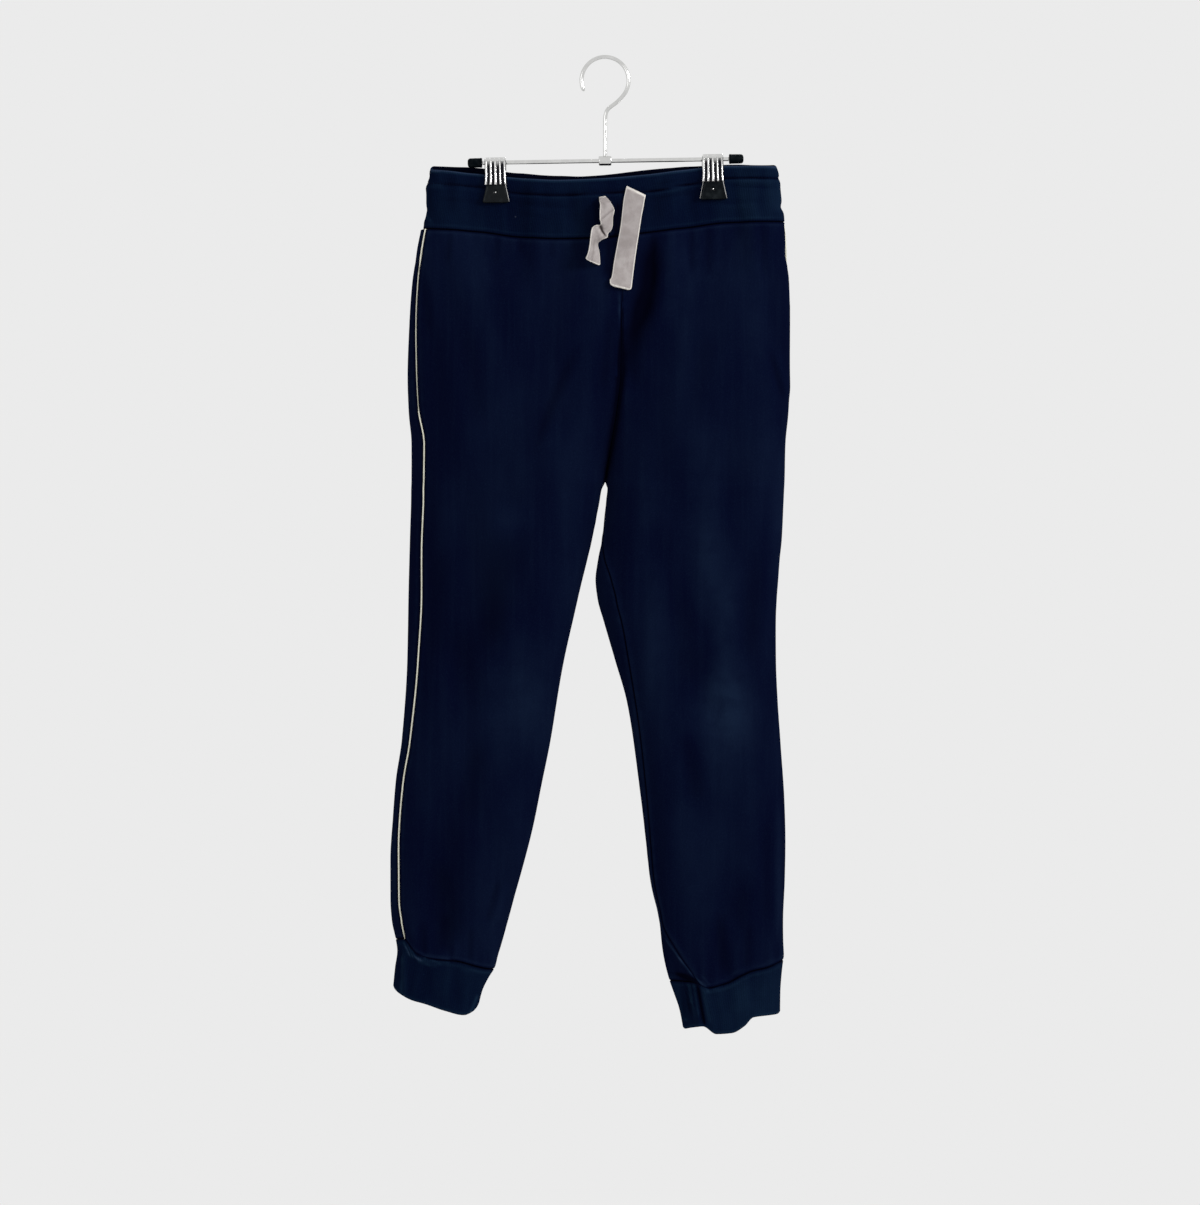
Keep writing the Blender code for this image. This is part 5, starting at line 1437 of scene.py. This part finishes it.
def wire_rings(points, radius, sides):
    """Rings of a round wire in the XZ plane with a rounded far end."""
    sizes = [radius] * (len(points) - 2) + [0.85 * radius, 0.35 * radius]
    last = len(points) - 1
    rings = []
    for i, (point, size) in enumerate(zip(points, sizes)):
        along = unit(points[min(i + 1, last)] - points[max(i - 1, 0)])
        rings.append(hoop(point, size * Y_AXIS, size * np.cross(along, Y_AXIS), sides))
    return np.array(rings)


def make_bar_and_hook():
    """The steel bar, the hook and the collar that joins them."""
    bar = domed(BAR_RIGHT_END, BAR_LEFT_END, BAR_RADIUS, BAR_ROUNDING)
    collar = domed(-COLLAR_HALF, COLLAR_HALF, COLLAR_RADIUS, COLLAR_ROUNDING)
    return tubes("hanger_wire", [wire_rings(hook_path(), WIRE_RADIUS, 20),
                                 set_on_bar(round_profile(bar, 24)),
                                 set_on_bar(round_profile(collar, 32))])


def make_cap(name, along):
    """A moulded end cap with a rounded nose and a low ring at its mouth."""
    outward = math.copysign(1.0, along)
    half = 0.5 * CAP_LENGTH
    profile = [(-half, 0.0038), (-half + 0.0003, 0.0045), (-half + 0.0016, 0.0046),
               (-half + 0.0019, 0.0044), (-half + 0.0060, 0.0044), (half - 0.0022, 0.0043),
               (half - 0.0010, 0.0038), (half - 0.0003, 0.0029), (half, 0.0015)]
    rings = round_profile([(outward * x, radius) for x, radius in profile], 32)
    return tubes(name, [set_on_bar(rings, along)], [1.0] * (len(profile) * 32))


def make_spring(name, along):
    """The clip's coil spring round the bar."""
    half = 0.5 * SPRING_LENGTH - COIL_WIRE
    rings = []
    for share in np.linspace(0.0, 1.0, int(COIL_TURNS * COIL_STEPS) + 1):
        angle = FULL_TURN * COIL_TURNS * share
        out = math.cos(angle) * Y_AXIS + math.sin(angle) * Z_AXIS
        centre = (SPRING_OUTER - COIL_WIRE) * out + half * (2.0 * share - 1.0) * X_AXIS
        rings.append(hoop(centre, COIL_WIRE * out, COIL_WIRE * X_AXIS, 8))
    return tubes(name, [set_on_bar(rings, along)])


def rib_share(across):
    """How high the pressed ribs stand at this share of the jaw's width, from 0 to 1."""
    return max(max(0.0, 1.0 - (abs(across - middle) / half) ** 3) for middle, half in JAW_RIBS)


def jaw_section(width, size, count=84):
    """Section of a jaw: a plate with rounded ribs and turned edges. Rows of x, depth and how
    deep in a groove they lie, which sets the painted shade there; the turned edges and the inner
    faces get painted shade too. size is the ribs' share of their full height."""
    half, edge = 0.5 * width, JAW_PLATE
    face = []
    for x in np.linspace(-half + 0.0004, half - 0.0004, count):
        share = rib_share(x / width)
        tone = np.interp(x / width, GROOVE_PLACES, GROOVE_TONES)
        face.append((x, -JAW_RIB_HEIGHT * size * share, (1.0 - share ** 0.5) * tone))
    outside = [(-half, JAW_RIM, 0.6), (-half, 0.0006, 0.2), (-half + 0.0001, 0.0002, 0.6)]
    far = [(-x, depth, groove) for x, depth, groove in reversed(outside)]
    inside = [(half - edge, JAW_RIM, 0.8), (half - edge, edge, 0.8), (-half + edge, edge, 0.8),
              (-half + edge, JAW_RIM, 0.8)]
    return outside + face + far + inside


def flange(side, turned):
    """The jaw's thin turned edge, which runs down beside the boot."""
    rings = []
    for share in (0.0, 0.3, 0.7, 1.0):
        height = BOOT_TOP + 0.0002 - share * (BOOT_HEIGHT - 0.0006)
        width = BOOT_TOP_WIDTH + share * (BOOT_LOW_WIDTH - BOOT_TOP_WIDTH)
        thick = (0.00022 if turned > 0.0 else 0.00012) if share < 1.0 else 0.0001
        x = turned * (0.5 * width - 0.0005)
        rings.append([(x + a * thick, side * (BOOT_FAR + 0.0013 * (b - 1.0)), height)
                      for a, b in ((-1, -1), (1, -1), (1, 1), (-1, 1))])
    return rings


def upright_hoops(x, z, side, rows, sides):
    """Rings in the XZ plane round one spot, from rows of radius and depth."""
    return [hoop(np.array([x, side * depth, z]), radius * X_AXIS, radius * Z_AXIS, sides)
            for radius, depth in rows]


def rivet(side):
    """The jaw's metal that shows at the bottom of the boot's dimple."""
    rows = [(radius, BOOT_FAR - sink) for radius, sink in
            ((0.0007, 0.0016), (0.0007, 0.0011), (0.0005, 0.0009), (0.0001, 0.0008))]
    return upright_hoops(0.0, DIMPLE_Z, side, rows, 16)


def make_jaw(name, along, side):
    """One pressed steel jaw. side is -1 at the front and 1 at the back."""
    plate_y = SPRING_OUTER + SEAM_GAP + JAW_PLATE
    rings, depths = [], []
    for row in JAW_STATIONS:
        section = jaw_section(row.size * JAW_WIDTH, row.ribs)
        rings.append([(x, side * (plate_y + row.stand - y), row.height) for x, y, _ in section])
        depths.extend(row.shade * depth for _, _, depth in section)
    trims = [flange(side, 1.0), rivet(side)]
    if along > 0.0:
        trims.append(flange(side, -1.0))
    depths.extend([0.0] * sum(len(trim) * len(trim[0]) for trim in trims))
    made = tubes(name, [set_on_bar(part, along) for part in [rings] + trims], depths)
    made.data.set_sharp_from_angle(angle=math.radians(42.0))
    return made


def boot_outline(shrink, count=10):
    """Rounded outline of a boot, as x and height, drawn in by shrink."""
    top, low = BOOT_TOP - shrink, BOOT_TOP - BOOT_HEIGHT + shrink
    radius = max(BOOT_ROUNDING - shrink, 0.0006)
    half_top, half_low = (0.5 * width - shrink - 0.0008 - radius
                          for width in (BOOT_TOP_WIDTH, BOOT_LOW_WIDTH))
    corners = ((half_top, top - radius, 0.0), (-half_top, top - radius, 90.0),
               (-half_low, low + radius, 180.0), (half_low, low + radius, 270.0))
    angles = 90.0 * np.arange(count + 1) / count
    return [(x + radius * math.cos(angle), z + radius * math.sin(angle))
            for x, z, start in corners for angle in np.radians(start + angles)]


def make_boot(name, along, side):
    """The rubber boot on a jaw's end, with a rounded rim, a dimple and a small raised dot."""
    near, far = BOOT_NEAR, BOOT_FAR
    layers = ((near, 0.0012), (near, 0.0005), (near + 0.0004, 0.0001), (near + 0.0010, 0.0),
              (far - 0.0012, 0.0), (far - 0.0005, 0.0002), (far - 0.0001, 0.0007),
              (far - 0.0001, 0.0012), (far - 0.0005, 0.0016), (far - 0.0005, 0.0022))
    rings = [np.array([(x, side * y, z) for x, z in boot_outline(shrink)])
             for y, shrink in layers]
    middle, last = np.array([0.0, side * (far - 0.0005), DIMPLE_Z]), rings[-1]
    rings.extend(middle + share * (last - middle) for share in (0.75, 0.5))
    dimple = ((0.34, 0.0), (0.28, 0.0002), (0.22, 0.0006), (0.12, 0.0009), (0.03, 0.0010))
    dimple = [(share * DIMPLE_SIZE, far - 0.0005 - sink) for share, sink in dimple]
    rings.extend(upright_hoops(0.0, DIMPLE_Z, side, dimple, len(last)))
    dot = ((0.0008, 0.0), (0.0008, 0.0004), (0.0005, 0.0007), (0.0001, 0.0008))
    dot = [(radius, far - 0.0006 + rise) for radius, rise in dot]
    mark = upright_hoops(-0.0012, BOOT_TOP - BOOT_HEIGHT + 0.0014, side, dot, 10)
    shade = LEFT_BOOT_SHADE if along > 0.0 else 0.0
    count = sum(len(part) * len(part[0]) for part in (rings, mark))
    made = tubes(name, [set_on_bar(part, along) for part in (rings, mark)], [shade] * count)
    made.data.set_sharp_from_angle(angle=math.radians(60.0))
    return made


def make_hanger():
    """All pieces of the hanger, by the CAD node that each stands in for."""
    made = {"hanger_frame": make_bar_and_hook()}
    reach = 0.5 * CAP_LENGTH + SEAM_GAP
    made["hanger_cap_right"] = make_cap("cap_right", BAR_RIGHT_END - reach)
    made["hanger_cap_left"] = make_cap("cap_left", BAR_LEFT_END + reach)
    for side_name, along in zip(("right", "left"), CLIP_X):
        made["clip_spring_" + side_name] = make_spring("spring_" + side_name, along)
        for face, side in (("front", -1.0), ("back", 1.0)):
            ending = face + "_" + side_name
            made["clip_jaw_" + ending] = make_jaw("jaw_" + ending, along, side)
            made["clip_boot_" + ending] = make_boot("boot_" + ending, along, side)
    return made


def make_trousers():
    """All pieces of cloth, by the CAD node that each stands in for."""
    made = {"waistband": make_band()}
    for side_name in ("right", "left"):
        ring = Ring(side_name)
        for face in ("front", "back"):
            name = face + "_" + side_name
            made[name] = make_panel(name, ring, face)
        made["piping_" + side_name] = make_piping("piping_" + side_name, ring)
        made["cuff_" + side_name] = make_cuff("cuff_" + side_name, ring)
    made["drawcord_end_left"] = make_tape("drawcord_flat", FLAT_TAPE, flat_dents)
    made["drawcord_end_right"] = make_tape("drawcord_twisted", TWISTED_TAPE, twisted_dents)
    return made


class Look:
    """A material under construction: its nodes, and short ways to join them."""

    def __init__(self, name):
        self.material = bpy.data.materials.new(name)
        self.material.use_nodes = True
        self.tree = self.material.node_tree
        self.shader = self.tree.nodes["Principled BSDF"]

    def feed(self, node, inputs):
        """Links or sets a node's inputs, each given by its name or its place."""
        for key, value in inputs.items():
            if isinstance(value, bpy.types.NodeSocket):
                self.tree.links.new(value, node.inputs[key])
            else:
                node.inputs[key].default_value = value

    def node(self, kind, inputs, **settings):
        made = self.tree.nodes.new("ShaderNode" + kind)
        for name, value in settings.items():
            setattr(made, name, value)
        self.feed(made, inputs)
        return made

    def math(self, operation, *values):
        return self.node("Math", dict(enumerate(values)), operation=operation).outputs[0]

    def clamped(self, value):
        return self.math("MINIMUM", self.math("MAXIMUM", value, 0.0), 1.0)

    def waves(self, *parts):
        """The sine of a sum of values, each with the length of its own wave."""
        turns = [self.math("MULTIPLY", value, FULL_TURN / length) for value, length in parts]
        total = turns[0]
        for turn in turns[1:]:
            total = self.math("ADD", total, turn)
        return self.math("SINE", total)

    def mix(self, share, first, second):
        """A mix of two colours, at the places of a colour mix's own inputs and output."""
        inputs = {0: share, 6: first, 7: second}
        return self.node("Mix", inputs, data_type="RGBA").outputs[2]

    def level(self, value, low, high, to_low=0.0, to_high=1.0):
        inputs = dict(enumerate((value, low, high, to_low, to_high)))
        return self.node("MapRange", inputs, interpolation_type="SMOOTHSTEP").outputs[0]

    def noise(self, vector, scale, detail=2.0, roughness=0.5):
        inputs = {"Vector": vector, "Scale": scale, "Detail": detail, "Roughness": roughness}
        return self.node("TexNoise", inputs).outputs["Fac"]

    def scaled(self, vector, *scale):
        return self.node("VectorMath", {0: vector, 1: scale}, operation="MULTIPLY").outputs[0]

    def split(self, vector):
        return self.node("SeparateXYZ", {0: vector}).outputs

    def cloth_uv(self):
        return self.node("UVMap", {}, uv_map="cloth").outputs[0]

    def place(self):
        return self.node("TexCoord", {}).outputs["Object"]

    def painted(self, name):
        """The number that each point of the mesh holds under this name."""
        return self.node("Attribute", {}, attribute_name=name).outputs["Fac"]

    def bump(self, height, distance):
        inputs = {"Height": height, "Distance": distance, "Strength": 1.0}
        self.feed(self.shader, {"Normal": self.node("Bump", inputs).outputs[0]})

    def set(self, **values):
        self.feed(self.shader, {name.replace("_", " "): value for name, value in values.items()})
        return self.material


def knit_height(look, wale, course):
    """Height of a fine knit: wales with a small V in each course."""
    across, down, _ = look.split(look.cloth_uv())
    wave = look.waves((across, wale))
    tilt = look.math("MULTIPLY", look.math("ABSOLUTE", wave), 1.6)
    rows = look.math("ADD", look.math("MULTIPLY", down, FULL_TURN / course), tilt)
    loops = look.math("MULTIPLY", look.math("SINE", rows), 0.4)
    return look.math("ADD", look.math("MULTIPLY", wave, 0.6), loops)


def lint(look, spot):
    """Where the few small specks of lint lie."""
    specks = look.node("TexVoronoi", {"Vector": spot, "Scale": 26.0}, feature="F1").outputs
    near = look.math("LESS_THAN", specks["Distance"], 0.020)
    rare = look.math("GREATER_THAN", look.split(specks["Color"])[0], 0.80)
    return look.math("MULTIPLY", look.math("MULTIPLY", near, rare), 0.35)


def navy_look(name, deep, worn_and_lit, wale, course, knit_depth):
    """Brushed navy cotton: uneven dye, faint streaks down the cloth, wear, fuzz and lint, with the
    painted highlight and painted shade that the points hold.
    """
    look = Look(name)
    spot, wear_and_light = look.place(), look.painted("wear_and_light")
    broad = look.noise(look.scaled(spot, 1.0, 1.0, 0.6), 14.0, 3.0)
    streaks = look.noise(look.scaled(spot, 1.0, 1.0, 0.05), 160.0, 3.0, 0.6)
    fuzz = look.noise(spot, 900.0, 3.0, 0.65)
    patchy = look.level(look.noise(spot, 60.0, 4.0), 0.25, 0.70, 0.6, 1.1)
    # Values from 0 to 1 turn the cloth towards its worn colour; part of that is painted highlight.
    share = look.math("MULTIPLY", look.math("MAXIMUM", wear_and_light, 0.0), patchy)
    for value, low, high, most in ((broad, 0.35, 0.75, 0.22), (streaks, 0.42, 0.75, 0.09),
                                   (fuzz, 0.45, 0.80, 0.25)):
        share = look.math("ADD", share, look.level(value, low, high, 0.0, most))
    colour = look.mix(look.math("MINIMUM", share, 1.0), deep, worn_and_lit)
    # Above 1 the points get a painted highlight, below 0 painted shade.
    colour = look.mix(look.clamped(look.math("SUBTRACT", wear_and_light, 1.0)), colour, HIGHLIGHT_NAVY)
    colour = look.mix(look.clamped(look.math("MULTIPLY", wear_and_light, -1.0)), colour, SHADED_NAVY)
    colour = look.mix(lint(look, spot), colour, LINT)
    knit = look.math("MULTIPLY", knit_height(look, wale, course), 0.5)
    look.bump(look.math("ADD", knit, look.math("MULTIPLY", fuzz, 1.1)), knit_depth)
    return look.set(Base_Color=colour, Roughness=0.95, Specular_IOR_Level=0.010)


def french_terry():
    return navy_look("navy_french_terry", DEEP_NAVY, WORN_AND_LIT_NAVY, 0.0013, 0.0010, 0.00010)


def rib_knit():
    return navy_look("navy_rib", DEEP_RIB, WORN_AND_LIT_RIB, 0.0022, 0.0012, 0.00028)


def piping_cotton():
    """Cream twill tape folded over a cord."""
    look = Look("cream_piping")
    across, down, _ = look.split(look.cloth_uv())
    look.bump(look.waves((down, 0.0011), (across, 0.0016)), 0.00012)
    soil = look.level(look.noise(look.place(), 90.0, 3.0), 0.40, 0.75, 0.0, 0.5)
    return look.set(Base_Color=look.mix(soil, CREAM, SOILED_CREAM), Roughness=0.85,
                    Specular_IOR_Level=0.2)


def woven_tape():
    """Grey flat drawcord: a fine herringbone weave with paler selvedges, partly painted highlight, and
    painted shade in its dents.
    """
    look = Look("grey_drawcord")
    across, down, _ = look.split(look.cloth_uv())
    zig = look.math("PINGPONG", look.math("MULTIPLY", across, 4.0), 0.5)
    weave = look.waves((down, 0.0013), (zig, 1.0 / 3.5))
    look.bump(weave, 0.00014)
    wear_and_light = look.painted("wear_and_light")
    cloudy = look.level(look.noise(look.place(), 130.0, 3.0), 0.35, 0.70)
    colour = look.mix(cloudy, TAPE_DARK, TAPE_GREY)
    colour = look.mix(look.level(weave, -1.0, 1.0, 0.0, 0.22), colour, TAPE_PALE)
    # Painted highlight at the edges and painted shade in the dents.
    colour = look.mix(look.clamped(wear_and_light), colour, TAPE_RIM)
    colour = look.mix(look.clamped(look.math("MULTIPLY", wear_and_light, -1.0)), colour, TAPE_SHADE)
    return look.set(Base_Color=colour, Roughness=0.88, Specular_IOR_Level=0.2)


def thread():
    look = Look("navy_thread")
    twist = look.noise(look.scaled(look.place(), 1.0, 1.0, 3.0), 1500.0, 1.0)
    return look.set(Base_Color=look.mix(twist, SHADED_NAVY, THREAD_NAVY), Roughness=0.9,
                    Specular_IOR_Level=0.02)


def polished_chrome():
    look = Look("chrome")
    smudge = look.noise(look.place(), 220.0, 4.0, 0.6)
    # The grooves between the ribs get painted shade, dark where the chrome would show dark reflections.
    groove_shade = look.level(look.painted("groove"), 0.30, 0.75)
    bright = look.mix(smudge, CHROME_DULL, CHROME_BRIGHT)
    return look.set(Base_Color=look.mix(groove_shade, bright, CHROME_GROOVE_SHADE), Metallic=1.0,
                    Roughness=look.level(smudge, 0.3, 0.8, 0.10, 0.26))


def spring_steel():
    look = Look("spring_steel")
    grain = look.noise(look.place(), 700.0, 2.0)
    return look.set(Base_Color=look.mix(grain, CHROME_DULL, CHROME_BRIGHT), Metallic=1.0,
                    Roughness=look.level(grain, 0.3, 0.8, 0.24, 0.40))


def moulded_rubber():
    look = Look("black_rubber")
    grain = look.noise(look.place(), 1200.0, 2.0)
    dust = look.level(look.noise(look.place(), 120.0, 4.0), 0.45, 0.80, 0.0, 0.6)
    look.bump(grain, 0.00003)
    return look.set(Base_Color=look.mix(dust, RUBBER, DUSTY_RUBBER),
                    Specular_IOR_Level=look.level(look.painted("groove"), 0.0, 1.0, 0.12, 0.02),
                    Roughness=look.level(grain, 0.3, 0.7, 0.38, 0.52))


def floor_look():
    """Pale matt floor that fades to the studio's even light away from the object."""
    look = Look("pale_floor")
    x, y, _ = (look.math("POWER", side, 2.0) for side in look.split(look.place()))
    far = look.level(look.math("SQRT", look.math("ADD", x, y)), FLOOR_PLAIN, FLOOR_FADED)
    glow = look.node("Emission", {"Color": STUDIO}).outputs[0]
    blend = look.node("MixShader", {0: far, 1: look.shader.outputs[0], 2: glow})
    look.feed(look.tree.nodes["Material Output"], {"Surface": blend.outputs[0]})
    return look.set(Base_Color=FLOOR_WHITE, Roughness=0.9, Specular_IOR_Level=0.0)


SLOTS = {
    "navy_french_terry": french_terry,
    "navy_rib": rib_knit,
    "cream_piping": piping_cotton,
    "grey_drawcord": woven_tape,
    "chrome": polished_chrome,
    "black_rubber": moulded_rubber,
}

# The record's material slot of a CAD node, by how the node's name starts.
SLOT_BY_START = (
    ("front_", "navy_french_terry"), ("back_", "navy_french_terry"), ("waistband", "navy_rib"),
    ("cuff_", "navy_rib"), ("piping_", "cream_piping"), ("drawcord_", "grey_drawcord"),
    ("hanger_cap_", "black_rubber"), ("clip_boot_", "black_rubber"), ("", "chrome"),
)


def dress(made):
    """Materials on the stand-ins; each hides the CAD node that it replaces and hangs from the root body.
    """
    looks = {slot: build() for slot, build in SLOTS.items()}
    steel = spring_steel()
    for node, piece in made.items():
        slot = next(slot for start, slot in SLOT_BY_START if node.startswith(start))
        is_spring = node.startswith("clip_spring_")
        piece.data.materials.append(steel if is_spring else looks[slot])
        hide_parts(node)
        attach(piece, "root")


def face_area(piece):
    """Area of one side of a thin shell, in square metres."""
    return 0.5 * sum(face.area for face in piece.data.polygons)


def state_sheets(made):
    """Works out the area of each piece of cloth, capped just below the width times the length of its flat
    outline; nothing is done with it.
    """
    for node, (width, length) in FLAT_SIZES.items():
        area = min(face_area(made[node]), 0.999 * width * length)


def light_studio():
    """Even pale surroundings, a soft key from the upper right and a weak fill."""
    world = bpy.data.worlds.new("studio")
    world.use_nodes = True
    background = world.node_tree.nodes["Background"]
    background.inputs["Color"].default_value = STUDIO
    background.inputs["Strength"].default_value = 1.0
    bpy.context.scene.world = world
    for name, spot, size, power in LAMPS:
        data = bpy.data.lights.new(name, "AREA")
        data.shape = "SQUARE"
        data.size = size
        data.energy = power
        lamp = place(name, data)
        lamp.location = spot
        towards = Vector(LIGHT_AIM) - Vector(spot)
        lamp.rotation_euler = towards.to_track_quat("-Z", "Y").to_euler()


def make_floor():
    """A large round floor below the hanging garment."""
    points = [0.0 * X_AXIS]
    for radius in FLOOR_RADII:
        points.extend(hoop(0.0 * X_AXIS, radius * X_AXIS, radius * Y_AXIS, FLOOR_SIDES))
    faces = []
    for k in range(FLOOR_SIDES):
        this, after = 1 + k, 1 + (k + 1) % FLOOR_SIDES
        faces.append((0, this, after))
        for r in range(len(FLOOR_RADII) - 1):
            low, high = r * FLOOR_SIDES, (r + 1) * FLOOR_SIDES
            faces.append((low + this, high + this, high + after, low + after))
    mesh = bpy.data.meshes.new("floor")
    mesh.from_pydata(points, [], faces)
    floor = place("floor", mesh)
    floor.location.z = FLOOR_Z
    floor.data.materials.append(floor_look())


def aim_camera():
    data = bpy.data.cameras.new("camera")
    data.sensor_width = SENSOR
    data.lens = SENSOR * CAMERA_DISTANCE / CAMERA_WIDTH
    data.dof.use_dof = False
    camera = place("camera", data)
    camera.location = (CAMERA_X, -CAMERA_DISTANCE, CAMERA_Z)
    camera.rotation_euler = (math.radians(90.0), 0.0, 0.0)
    bpy.context.scene.camera = camera
    bpy.context.scene.view_settings.view_transform = "Standard"


def main():
    made = make_hanger()
    made.update(make_trousers())
    dress(made)
    stitching = make_stitches()
    stitching.data.materials.append(thread())
    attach(stitching, "root")
    state_sheets(made)
    make_floor()
    light_studio()
    aim_camera()
    bpy.context.view_layer.update()


main()
